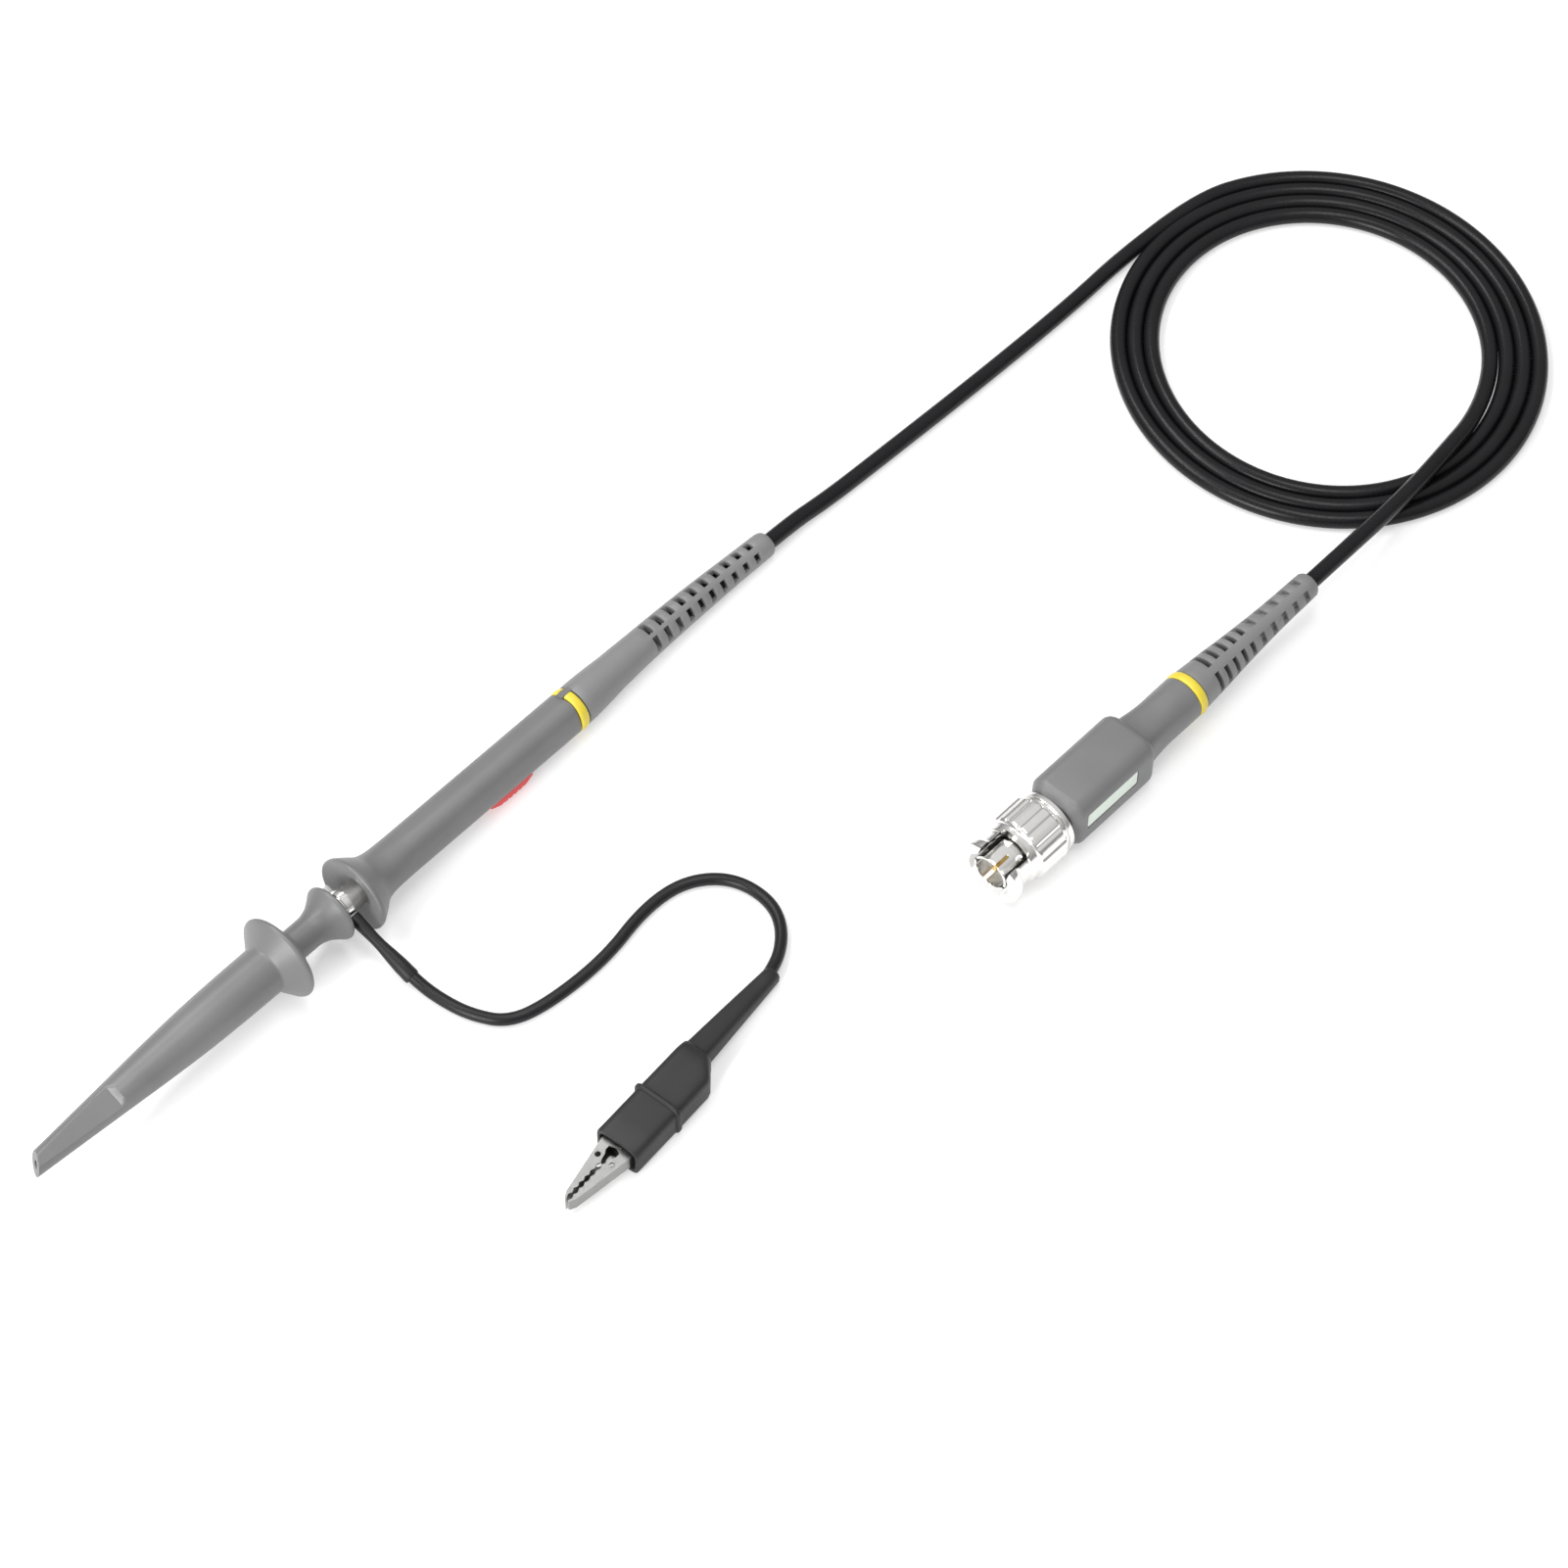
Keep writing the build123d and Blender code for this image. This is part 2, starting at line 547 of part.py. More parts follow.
# ---------------------------------------------------------------- main cable
def coil_radius(turned_by, whole_turns):
    """Distance of a turn from the coil's centre: a slightly egg-shaped spiral, closing inwards."""
    return (COIL_R + 1.65 * cos(radians(turned_by - 49)) + 1.14 * cos(radians(2 * (turned_by - 37)))
            - COIL_PITCH * whole_turns)


def coil_outline(whole_turns, outwards, count=24):
    points = []
    for i in range(count):
        turned_by = 360 * i / count
        reach = coil_radius(turned_by, whole_turns) + outwards
        angle = radians(90 - turned_by)
        points.append((COIL_CENTRE[0] + reach * cos(angle), COIL_CENTRE[1] + reach * sin(angle)))
    return points


def on_bnc_axis(station):
    return tuple(at_station(bnc, station))


main_route = [tuple(at_station(head_level, 152)), tuple(at_station(head_level, 206)),
              (160, -4.6, 1.66), (190, -5.0, 1.66), (212, -5.7, 1.66)]
tail_route = [(236, -76.5, 1.66), (228, -81.5, 2.2), (219, -85.4, 5.5), (208.5, -88.6, 9.2),
              (192, -90.0, 9.2), on_bnc_axis(101), on_bnc_axis(58)]
pieces["main_cable"] = cord("main_cable", main_route, CABLE_R)
pieces["cable_tail"] = cord("cable_tail", tail_route, CABLE_R)

with BuildPart() as cable_coil:
    with BuildSketch():
        with BuildLine():
            Spline(*coil_outline(0.35, CABLE_R), periodic=True)
        make_face()
        with BuildLine():
            Spline(*coil_outline(3.2, -CABLE_R), periodic=True)
        make_face(mode=Mode.SUBTRACT)
    extrude(amount=2 * CABLE_R)
pieces["cable_coil"] = cable_coil


# ---------------------------------------------------------------- ground lead
LEAD_DROP = 109          # the lead leaves the head this far round from straight up, towards -Y
lead_side = rolled(head_level, LEAD_DROP)
RING_MID = sum(RING_SEAT) / 2

with BuildPart() as ground_ring:
    with BuildSketch(across(lead_side, RING_SEAT[0] + 0.1)):
        Circle(3.05)
        Rectangle(0.5, 9, align=(Align.CENTER, Align.MAX))
        with Locations((0, 3)):
            Rectangle(1.8, 3, align=(Align.CENTER, Align.MIN))
        Circle(2.56, mode=Mode.SUBTRACT)
    extrude(amount=RING_SEAT[1] - RING_SEAT[0] - 0.2)
    # The ear is bent to half its height
    with BuildSketch(layer(rolled(lead_side, 180), 4.6)):
        with Locations((RING_MID, 0)):
            Rectangle(4, 3)
    extrude(amount=6, mode=Mode.SUBTRACT)
pieces["ground_ring"] = ground_ring

# The lead's own axis, square to the head and running down to the bench
lead_axis = Plane(at_station(lead_side, RING_MID), x_dir=lead_side.z_dir, z_dir=-lead_side.x_dir)
with BuildPart() as ground_insulator:
    with BuildSketch(across(lead_axis, 3.5)):
        RectangleRounded(2.6, 2.3, 0.5)
    with BuildSketch(across(lead_axis, 9)):
        RectangleRounded(2.1, 2.1, 0.95)
    loft()
    with BuildSketch(across(lead_axis, 3)):
        Rectangle(1.85, 1.45)
    extrude(amount=3.05, mode=Mode.SUBTRACT)
pieces["ground_insulator"] = ground_insulator
pieces["ground_sleeve"] = turned(lead_axis, (9, 0), (9, 1.0), (11, 1.12), (16, 1.55), (19.2, 1.62),
                                 (19.5, 1.5), (19.5, LEAD_R), (12.5, LEAD_R - 0.3), (12.5, 0))

lead_route = [tuple(at_station(lead_axis, 13)), tuple(at_station(lead_axis, 20.4)),
              (-20.6, -28.5, LEAD_R), (-15.5, -38.5, LEAD_R), (-4, -42.6, LEAD_R),
              (11, -42.2, LEAD_R), (23, -39.8, LEAD_R), (33.5, -43.5, LEAD_R),
              (37.6, -54, LEAD_R), (34, -64.5, LEAD_R), (25.5, -68.9, 1.5)]


# ---------------------------------------------------------------- alligator clip
TAIL_TIP = (-23.6, -2.7, -1.8)
clip_route_end = tuple(at_station(clip, -15, -2.4, -1.0))
pieces["ground_lead"] = cord("ground_lead", lead_route + [clip_route_end], LEAD_R)

with BuildPart() as clip_boot:
    with BuildSketch(layer(clip, -CLIP_HEIGHT / 2)):
        with BuildLine():
            Polyline((0.2, 0.9), (4.4, CLIP_WIDTH / 2), (CLIP_LENGTH, CLIP_WIDTH / 2),
                     (CLIP_LENGTH, -CLIP_WIDTH / 2), (0, -CLIP_WIDTH / 2), close=True)
        make_face()
        with Locations((13.8, 0)):
            Rectangle(1.3, CLIP_WIDTH + 1.2)
    extrude(amount=CLIP_HEIGHT)
    # Long edges bevelled to an eight-sided section
    with BuildSketch(across(clip, -1)):
        Rectangle(30, 30)
        with BuildLine():
            Polyline((-6, -2.2), (-6, 2.2), (-3, 3.7), (3, 3.7), (6, 2.2), (6, -2.2),
                     (3, -3.7), (-3, -3.7), close=True)
        make_face(mode=Mode.SUBTRACT)
    extrude(amount=30, mode=Mode.SUBTRACT)
    # Tail over the lead
    with BuildSketch(across(clip, 1.5)):
        with Locations((-2.0, 0)):
            RectangleRounded(5.4, 5.0, 1.6)
    with BuildSketch(across(clip, TAIL_TIP[0])):
        with Locations((TAIL_TIP[1], TAIL_TIP[2])):
            RectangleRounded(3.7, 3.7, 1.75)
    loft()
    # Pocket for the spring and the jaws' arms
    with BuildSketch(layer(clip, -2.7)):
        with BuildLine():
            Polyline((4.2, -4.2), (4.2, 3.0), (6, 4.2), (CLIP_LENGTH + 1, 4.2),
                     (CLIP_LENGTH + 1, -4.2), close=True)
        make_face()
    extrude(amount=5.4, mode=Mode.SUBTRACT)
    # Bore that grips the lead
    add(pieces["ground_lead"].part, mode=Mode.SUBTRACT)
pieces["clip_boot"] = clip_boot


def jaw(side, reach):
    """Stamped jaw: a back wall along its outer edge, a cheek above and one below, teeth inside.

    side is +1 or -1 across the clip, reach is the height of the cheeks' outer faces."""
    toothed = [(38.9 - 0.8 * i, side * (0.12 if i % 2 else 0.5)) for i in range(13)]
    outline = [(7, side * 3.9), (16, side * 3.9), (26, side * 3.35), (38.6, side * 1.15),
               (JAW_TIP, side * 0.5), (JAW_TIP, side * 0.12), *toothed, (28.1, side * 0.7),
               (27.3, side * 1.2), (26.3, side * 1.2), (25.4, side * -0.9),
               (22.4, side * -1.4), (21.2, side * 1.2), (14, side * 2.4), (7, side * 3.1)]
    inner = [(6, side * (3.9 - SHEET)), (16, side * (3.9 - SHEET)), (26, side * (3.35 - SHEET)),
             (38.3, side * (1.15 - SHEET)), (38.3, side * -3), (6, side * -3)]
    with BuildPart() as piece:
        with BuildSketch(layer(clip, -reach)):
            with BuildLine():
                Polyline(*outline, close=True)
            make_face()
        extrude(amount=2 * reach)
        with BuildSketch(layer(clip, -reach + SHEET)):
            with BuildLine():
                Polyline(*inner, close=True)
            make_face()
        extrude(amount=2 * (reach - SHEET), mode=Mode.SUBTRACT)
        # Round hole near the root of the teeth, and the pivot's hole
        with BuildSketch(layer(clip, -reach)):
            with Locations((29, side * 1.7)):
                Circle(0.6)
            with Locations((JAW_PIVOT, 0)):
                Circle(0.8 if side < 0 else 0.8 + RUNNING_GAP)
        extrude(amount=2 * reach, mode=Mode.SUBTRACT)
    return piece


pieces["clip_fixed_jaw"] = jaw(-1, 2.0)
pieces["clip_moving_jaw"] = jaw(1, 1.5)
with BuildPart() as clip_pin:
    with BuildSketch(layer(clip, -2.0)):
        with Locations((JAW_PIVOT, 0)):
            Circle(0.8)
    extrude(amount=4.0)
    for height in (-2.4, 2.0):
        with BuildSketch(layer(clip, height)):
            with Locations((JAW_PIVOT, 0)):
                Circle(1.2)
        extrude(amount=0.4)
pieces["clip_pin"] = clip_pin

with BuildPart() as clip_spring:
    with BuildSketch(layer(clip, -0.9)):
        with Locations((JAW_PIVOT, 0)):
            Circle(1.5)
            Circle(0.95, mode=Mode.SUBTRACT)
    extrude(amount=1.8)
    # The two legs press the arms apart
    for side, height in ((1, -0.9), (-1, 0.4)):
        with BuildSketch(layer(clip, height)):
            with BuildLine():
                Polyline((23.2, side * 1.5), (23.5, side * 1.0), (10, side * 3.0), (10, side * 3.48),
                         close=True)
            make_face()
        extrude(amount=0.5)
pieces["clip_spring"] = clip_spring


# ---------------------------------------------------------------- written files
os.makedirs("parts", exist_ok=True)
for name, piece in pieces.items():
    piece.part.label = name
    export_step(piece.part, f"parts/{name}.step")
print(len(pieces), "pieces")
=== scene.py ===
import bpy
import bmesh
from math import cos, pi, radians, sin
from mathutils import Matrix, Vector


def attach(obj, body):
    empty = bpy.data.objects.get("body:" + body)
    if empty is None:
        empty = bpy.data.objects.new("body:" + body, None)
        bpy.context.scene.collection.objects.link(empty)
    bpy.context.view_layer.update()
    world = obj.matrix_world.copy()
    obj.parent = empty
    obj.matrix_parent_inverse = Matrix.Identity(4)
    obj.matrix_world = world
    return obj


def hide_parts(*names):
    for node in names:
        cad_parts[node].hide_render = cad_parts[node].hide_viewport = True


# Oscilloscope probe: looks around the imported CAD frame. Lengths are written in millimetres and turned
# to metres by MM. The axis of a turned piece is a Frame: stations run along x, and angles turn from up
# towards -y. An outline's points are (station, radius) or (station, radius, fillet).

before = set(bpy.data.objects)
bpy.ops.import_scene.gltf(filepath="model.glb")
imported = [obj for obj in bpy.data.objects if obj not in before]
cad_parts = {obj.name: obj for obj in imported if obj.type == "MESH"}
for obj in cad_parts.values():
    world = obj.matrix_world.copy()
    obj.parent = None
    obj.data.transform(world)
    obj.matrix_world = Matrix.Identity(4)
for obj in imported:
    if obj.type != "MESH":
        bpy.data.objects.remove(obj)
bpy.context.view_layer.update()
MM = 0.001
HOOK_COVER, HOOK, PROBE, CLIP = "hook_cover", "hook_adapter", "probe", "ground_clip"


class Frame:
    """Axis of a turned piece: origin in millimetres, heading and downward pitch in degrees."""

    def __init__(self, origin, heading=0.0, pitch=0.0):
        h, p = radians(heading), radians(pitch)
        self.origin = Vector(origin)
        self.x = Vector((cos(h) * cos(p), sin(h) * cos(p), -sin(p)))
        self.y = Vector((-sin(h), cos(h), 0))
        self.z = self.x.cross(self.y)

    def at(self, station, y=0.0, height=0.0):
        return (self.origin + self.x * station + self.y * y + self.z * height) * MM

    def ring(self, station, radius, angle):
        return self.at(station, -radius * sin(angle), radius * cos(angle))

    def turned(self, station, x, y, z):
        """Frame at a station of this one, with other directions."""
        other = Frame(self.at(station) / MM)
        other.x, other.y, other.z = x, y, z
        return other

    def rolled(self, roll):
        r = radians(roll)
        return self.turned(0, self.x, self.y * cos(r) + self.z * sin(r),
                           self.z * cos(r) - self.y * sin(r))

    def crossing(self, station, roll):
        """Axis that leaves this one at a right angle, roll degrees round from up towards -y."""
        side = self.rolled(roll)
        return side.turned(station, side.z, side.x.cross(side.z) * -1, -side.x)

    def upright(self, station=0.0):
        """Axis that runs out of this one's top, for cutting windows and pockets."""
        return self.turned(station, self.z, self.x, self.y)


TILT = 2.6                   # the head rests on its guard, so its tail is lower
GUARD_R, GUARD_AT, HEAD_LENGTH = 8.15, 82.4, 200.8
head_level = Frame((-HEAD_LENGTH / 2 * cos(radians(TILT)), 0,
                    GUARD_R * cos(radians(TILT)) + GUARD_AT * sin(radians(TILT))), pitch=TILT)
head = head_level.rolled(26)
bnc = Frame((65.19, -87.14, 7.25), heading=-1.77)
BNC_ROLL = 22
clip = Frame((0.3, -72.8, 3.7), heading=182.7)
CABLE_R, LEAD_R = 1.65, 1.25
CABLE_SHOWN_R = 1.72         # so that the turns of the coil touch
COIL_MIDDLE, COIL_R = (214.5, -53.6), 46.74
COIL_HEIGHT = CABLE_R + 0.02
RING_MID, LEAD_DROP = 79.1, 109
lead_axis = head_level.crossing(RING_MID, LEAD_DROP)


# ---------------------------------------------------------------- materials
def nodes_of(name):
    material = bpy.data.materials.new(name)
    material.use_nodes = True
    tree = material.node_tree
    shader = tree.nodes["Principled BSDF"]
    place = tree.nodes.new("ShaderNodeTexCoord")
    return material, tree, shader, place.outputs["Object"]


def noise(tree, place, per_mm, detail=3.0, stretch=None):
    texture = tree.nodes.new("ShaderNodeTexNoise")
    texture.inputs["Scale"].default_value = per_mm / MM
    texture.inputs["Detail"].default_value = detail
    if stretch:
        mapping = tree.nodes.new("ShaderNodeMapping")
        mapping.inputs["Scale"].default_value = stretch
        tree.links.new(place, mapping.inputs["Vector"])
        place = mapping.outputs["Vector"]
    tree.links.new(place, texture.inputs["Vector"])
    return texture.outputs["Fac"]


def ranged(tree, value, low, high, start=0.3, end=0.7):
    node = tree.nodes.new("ShaderNodeMapRange")
    for name, number in (("From Min", start), ("From Max", end), ("To Min", low), ("To Max", high)):
        node.inputs[name].default_value = number
    tree.links.new(value, node.inputs["Value"])
    return node.outputs["Result"]


def mixed(tree, factor, first, second):
    """Colour between two plain colours, first where the factor is 0."""
    node = tree.nodes.new("ShaderNodeMix")
    node.data_type = "RGBA"
    tree.links.new(factor, node.inputs["Factor"])
    for name, colour in (("A", first), ("B", second)):
        socket = next(s for s in node.inputs if s.name == name and s.type == "RGBA")
        socket.default_value = (*colour, 1)
    return next(s for s in node.outputs if s.type == "RGBA")


def bumped(tree, shader, height, strength, depth_mm):
    node = tree.nodes.new("ShaderNodeBump")
    node.inputs["Strength"].default_value = strength
    node.inputs["Distance"].default_value = depth_mm * MM
    tree.links.new(height, node.inputs["Height"])
    tree.links.new(node.outputs["Normal"], shader.inputs["Normal"])


CLOUDS_PER_MM = 0.09


def finish(name, colour, rough, grain_per_mm=4.0, grain=0.25, mottle=0.06, metallic=0.0,
           specular=0.5, stretch=None, depth_mm=0.03, rough_spread=0.05):
    """Moulded, drawn or plated surface: fine grain in relief, faint clouding, uneven gloss."""
    material, tree, shader, place = nodes_of(name)
    clouds = noise(tree, place, CLOUDS_PER_MM, 2.0)
    fine = noise(tree, place, grain_per_mm, 3.0, stretch)
    dark = tuple(c * (1 - mottle) for c in colour)
    light = tuple(min(1.0, c * (1 + mottle)) for c in colour)
    tree.links.new(mixed(tree, ranged(tree, clouds, 0, 1), dark, light), shader.inputs["Base Color"])
    tree.links.new(ranged(tree, fine, rough - rough_spread, rough + rough_spread),
                   shader.inputs["Roughness"])
    shader.inputs["Metallic"].default_value = metallic
    shader.inputs["Specular IOR Level"].default_value = specular
    bumped(tree, shader, fine, grain, depth_mm)
    return material


GREY = finish("probe_grey", (0.143, 0.143, 0.144), 0.40, 3.2, 0.22, 0.05)
GREY_LIGHT = finish("probe_grey_light", (0.18, 0.18, 0.183), 0.44, 3.2, 0.22, 0.05)
YELLOW = finish("ring_yellow", (0.66, 0.53, 0.04), 0.38, 2.5, 0.15, 0.05)
RED = finish("switch_red", (0.66, 0.06, 0.065), 0.38, 2.5, 0.15, 0.05)
BLACK_PLASTIC = finish("black_plastic", (0.03, 0.03, 0.032), 0.45, 3.0, 0.2)
WHITE_PLASTIC = finish("white_plastic", (0.82, 0.82, 0.79), 0.4, 2.5, 0.15, 0.03)
LABEL_MINT = finish("label_mint", (0.70, 0.78, 0.70), 0.45, 6.0, 0.1, 0.04)
NICKEL = finish("nickel", (0.84, 0.83, 0.81), 0.16, 1.2, 0.12, 0.03, metallic=1.0, depth_mm=0.02,
                rough_spread=0.04)
JAW_PLATE = finish("jaw_plate", (0.29, 0.29, 0.285), 0.34, 0.8, 0.08, 0.08, metallic=1.0,
                   depth_mm=0.02, rough_spread=0.05)
BRIGHT_STEEL = finish("bright_steel", (0.70, 0.70, 0.69), 0.24, 5.0, 0.25, 0.05, metallic=1.0,
                      stretch=(0.15, 1, 1))
GOLD = finish("contact_gold", (0.86, 0.63, 0.27), 0.2, 2.0, 0.15, 0.05, metallic=1.0)
BOARD = finish("board_green", (0.03, 0.20, 0.08), 0.4, 1.5, 0.3, 0.15)
CERAMIC = finish("ceramic", (0.55, 0.38, 0.2), 0.55, 6.0, 0.3, 0.1)
CABLE = finish("cable_black", (0.007, 0.007, 0.008), 0.28, 1.6, 0.15, 0.15, specular=0.2,
               rough_spread=0.05)
LEAD = finish("lead_black", (0.009, 0.009, 0.01), 0.36, 2.2, 0.2, 0.15, specular=0.25)
SHRINK = finish("shrink_black", (0.011, 0.011, 0.012), 0.45, 2.6, 0.3, 0.15, specular=0.28)
CLIP_RUBBER = finish("clip_rubber", (0.017, 0.017, 0.018), 0.48, 3.4, 0.3, 0.12, specular=0.3)

CAD_FINISH = {
    "hook_sleeve": GREY, "hook_barrel": GREY, "probe_body": GREY, "probe_boot": GREY,
    "bnc_boot": GREY, "compensation_neck": GREY, "compensation_box": GREY,
    "body_ring": YELLOW, "bnc_ring": YELLOW, "switch_knob": RED, "switch_base": BLACK_PLASTIC,
    "trimmer_base": BLACK_PLASTIC, "tip_insulator": WHITE_PLASTIC, "bnc_dielectric": WHITE_PLASTIC,
    "trimmer_rotor": WHITE_PLASTIC, "label_plate": LABEL_MINT, "ground_insulator": SHRINK,
    "ground_sleeve": SHRINK, "main_cable": CABLE, "cable_coil": CABLE, "cable_tail": CABLE,
    "ground_lead": LEAD, "clip_boot": CLIP_RUBBER, "bnc_gasket": CLIP_RUBBER,
    "ground_barrel": NICKEL, "bnc_coupling": NICKEL, "bnc_contact": NICKEL, "ground_ring": NICKEL,
    "clip_fixed_jaw": JAW_PLATE, "clip_moving_jaw": JAW_PLATE, "clip_pin": NICKEL,
    "shield_tube": BRIGHT_STEEL, "probe_ferrule": BRIGHT_STEEL, "bnc_ferrule": BRIGHT_STEEL,
    "hook_spring": BRIGHT_STEEL, "hook_wire": BRIGHT_STEEL, "clip_spring": BRIGHT_STEEL,
    "bnc_wave_washer": BRIGHT_STEEL, "bnc_thrust_washer": BRIGHT_STEEL, "bnc_circlip": BRIGHT_STEEL,
    "tip_needle": GOLD, "hook_socket": GOLD, "bnc_pin": GOLD, "cable_core": GOLD,
    "switch_wiper": GOLD, "attenuator_board": BOARD, "compensation_board": BOARD,
    "attenuator_resistor": CERAMIC, "attenuator_capacitor": CERAMIC,
    "compensation_resistor": CERAMIC,
}
for node_name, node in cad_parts.items():
    node.data.materials.clear()
    node.data.materials.append(CAD_FINISH[node_name])


# ---------------------------------------------------------------- camera, floor and light
LENS = 112.43
CAMERA_AT, CAMERA_TO = (-356.5, -405.1, 775.3), (59.4, -40.6, 0)
LIGHTS_TO = (60, -40, 0)
FLOOR_REACH = 6000
FLOOR_GLOW = 0.40            # the white sweep is lit from below too
SKY_LOW, SKY_HIGH = 0.25, 0.75


def look(from_mm, target_mm):
    return (Vector(target_mm) - Vector(from_mm)).to_track_quat("-Z", "Y").to_euler()


def add_camera():
    data = bpy.data.cameras.new("camera")
    data.sensor_width = 36.0
    data.lens = LENS
    data.clip_end = 20
    camera = bpy.data.objects.new("camera", data)
    camera.location = Vector(CAMERA_AT) * MM
    camera.rotation_euler = look(CAMERA_AT, CAMERA_TO)
    bpy.context.collection.objects.link(camera)
    bpy.context.scene.camera = camera


def add_softbox(name, place_mm, size_mm, watts):
    data = bpy.data.lights.new(name, "AREA")
    data.shape = "RECTANGLE"
    data.size, data.size_y = (s * MM for s in size_mm)
    data.energy = watts
    light = bpy.data.objects.new(name, data)
    light.location = Vector(place_mm) * MM
    light.rotation_euler = look(place_mm, LIGHTS_TO)
    bpy.context.collection.objects.link(light)


def add_floor():
    mesh = bpy.data.meshes.new("floor")
    reach = FLOOR_REACH * MM
    corners = [(-reach, -reach, 0), (reach, -reach, 0), (reach, reach, 0), (-reach, reach, 0)]
    mesh.from_pydata(corners, [], [(0, 1, 2, 3)])
    floor = bpy.data.objects.new("floor", mesh)
    material, tree, shader, place = nodes_of("studio_floor")
    tint = mixed(tree, ranged(tree, noise(tree, place, 0.01), 0, 1), (0.60, 0.60, 0.60),
                 (0.615, 0.615, 0.615))
    tree.links.new(tint, shader.inputs["Base Color"])
    shader.inputs["Roughness"].default_value = 0.9
    shader.inputs["Specular IOR Level"].default_value = 0.1
    shader.inputs["Emission Color"].default_value = (1, 1, 1, 1)
    shader.inputs["Emission Strength"].default_value = FLOOR_GLOW
    mesh.materials.append(material)
    bpy.context.collection.objects.link(floor)


def add_light():
    """White sky, brighter overhead, and three soft boxes."""
    world = bpy.data.worlds.new("studio")
    world.use_nodes = True
    sky = world.node_tree
    place = sky.nodes.new("ShaderNodeTexCoord").outputs["Generated"]
    split = sky.nodes.new("ShaderNodeSeparateXYZ")
    sky.links.new(place, split.inputs["Vector"])
    sky.links.new(ranged(sky, split.outputs["Z"], SKY_LOW, SKY_HIGH, 0.05, 0.75),
                  sky.nodes["Background"].inputs["Strength"])
    sky.nodes["Background"].inputs["Color"].default_value = (1, 1, 1, 1)
    bpy.context.scene.world = world
    add_softbox("softbox_front", (-900, -150, 420), (500, 500), 9)
    add_softbox("softbox_strip", (-60, 420, 800), (1000, 160), 5)
    add_softbox("softbox_top", (150, -100, 1200), (700, 300), 4)


add_camera()
add_floor()
add_light()
bpy.context.scene.view_settings.view_transform = "Standard"


# ---------------------------------------------------------------- cords
def add_cord(name, route_mm, radius_mm, material):
    curve = bpy.data.curves.new(name, "CURVE")
    curve.dimensions = "3D"
    curve.resolution_u = 12
    curve.bevel_depth = radius_mm * MM
    curve.bevel_resolution = 6
    curve.use_fill_caps = True
    spline = curve.splines.new("NURBS")
    spline.points.add(len(route_mm) - 1)
    for point, place in zip(spline.points, route_mm):
        point.co = (*(Vector(place) * MM), 1)
    spline.order_u = 3
    spline.use_endpoint_u = True
    cord = bpy.data.objects.new(name, curve)
    curve.materials.append(material)
    bpy.context.collection.objects.link(cord)
    return cord


def coil_turns(start, end, step):
    """Points of the coil: an egg-shaped spiral that closes inwards, clockwise from above."""
    points = []
    for turned_by in range(start, end, step):
        reach = (COIL_R + 1.65 * cos(radians(turned_by - 49))
                 + 1.14 * cos(radians(2 * (turned_by - 37))) - 2 * CABLE_SHOWN_R * turned_by / 360)
        reach /= cos(radians(step / 2))      # the spline cuts inside its control points
        angle = radians(90 - turned_by)
        points.append((COIL_MIDDLE[0] + reach * cos(angle), COIL_MIDDLE[1] + reach * sin(angle),
                       COIL_HEIGHT))
    return points


def add_main_cord():
    from_head = [tuple(head_level.at(176) / MM), tuple(head_level.at(206) / MM), (118, -1.3, 1.68),
                 (134, -2.4, 1.67), (161, -4.2, 1.67), (190, -5.5, 1.67), (208, -5.2, 1.67)]
    to_plug = [(228.8, -84.4, 1.9), (218.4, -88.0, 3.6), (209, -89.1, 4.8), (198, -90.0, 5.2),
               (186, -90.3, 5.9), tuple(bnc.at(110) / MM), tuple(bnc.at(97) / MM),
               tuple(bnc.at(60) / MM)]
    route = from_head + coil_turns(20, 1221, 15) + to_plug
    return add_cord("cable_cord", route, CABLE_SHOWN_R, CABLE)


def add_ground_cord():
    route = [tuple(lead_axis.at(13.5) / MM), tuple(lead_axis.at(20.3) / MM), (-21.3, -25.5, 1.26),
             (-20.1, -32, 1.26), (-16.6, -38.6, 1.26), (-8.2, -41.4, 1.26), (6, -42.5, 1.26),
             (19, -40.4, 1.26), (29, -41.9, 1.26), (35.6, -48.2, 1.26), (36.6, -57.2, 1.26),
             (32.8, -63.9, 1.3), (24.6, -68.7, 1.7), tuple(clip.at(-15, -2.4, -1.0) / MM)]
    return add_cord("ground_cord", route, LEAD_R, LEAD)


# ---------------------------------------------------------------- mesh tools
def rounded(outline, steps=5):
    """Closed outline of (station, radius, fillet) points, its filleted corners turned to curves."""
    points = []
    for i, (station, radius, *fillet) in enumerate(outline):
        corner = Vector((station, radius))
        if not fillet:
            points.append(corner)
            continue
        before = Vector(outline[i - 1][:2]) - corner
        after = Vector(outline[(i + 1) % len(outline)][:2]) - corner
        start = corner + before.normalized() * min(fillet[0], 0.48 * before.length)
        end = corner + after.normalized() * min(fillet[0], 0.48 * after.length)
        for k in range(steps + 1):
            t = k / steps
            points.append(start * (1 - t) ** 2 + corner * 2 * t * (1 - t) + end * t * t)
    return points


def dense(points, step):
    """The same closed outline with no stretch longer than step."""
    filled = []
    for point, after in zip(points, points[1:] + points[:1]):
        count = max(1, int((after - point).length / step + 0.999))
        filled += [point.lerp(after, k / count) for k in range(count)]
    return filled


def between(value, table):
    """Value read off a table of (position, value) pairs, with straight lines between them."""
    for (x0, y0), (x1, y1) in zip(table, table[1:]):
        if value <= x1:
            return y0 + (y1 - y0) * max(0.0, (value - x0) / (x1 - x0))
    return table[-1][1]


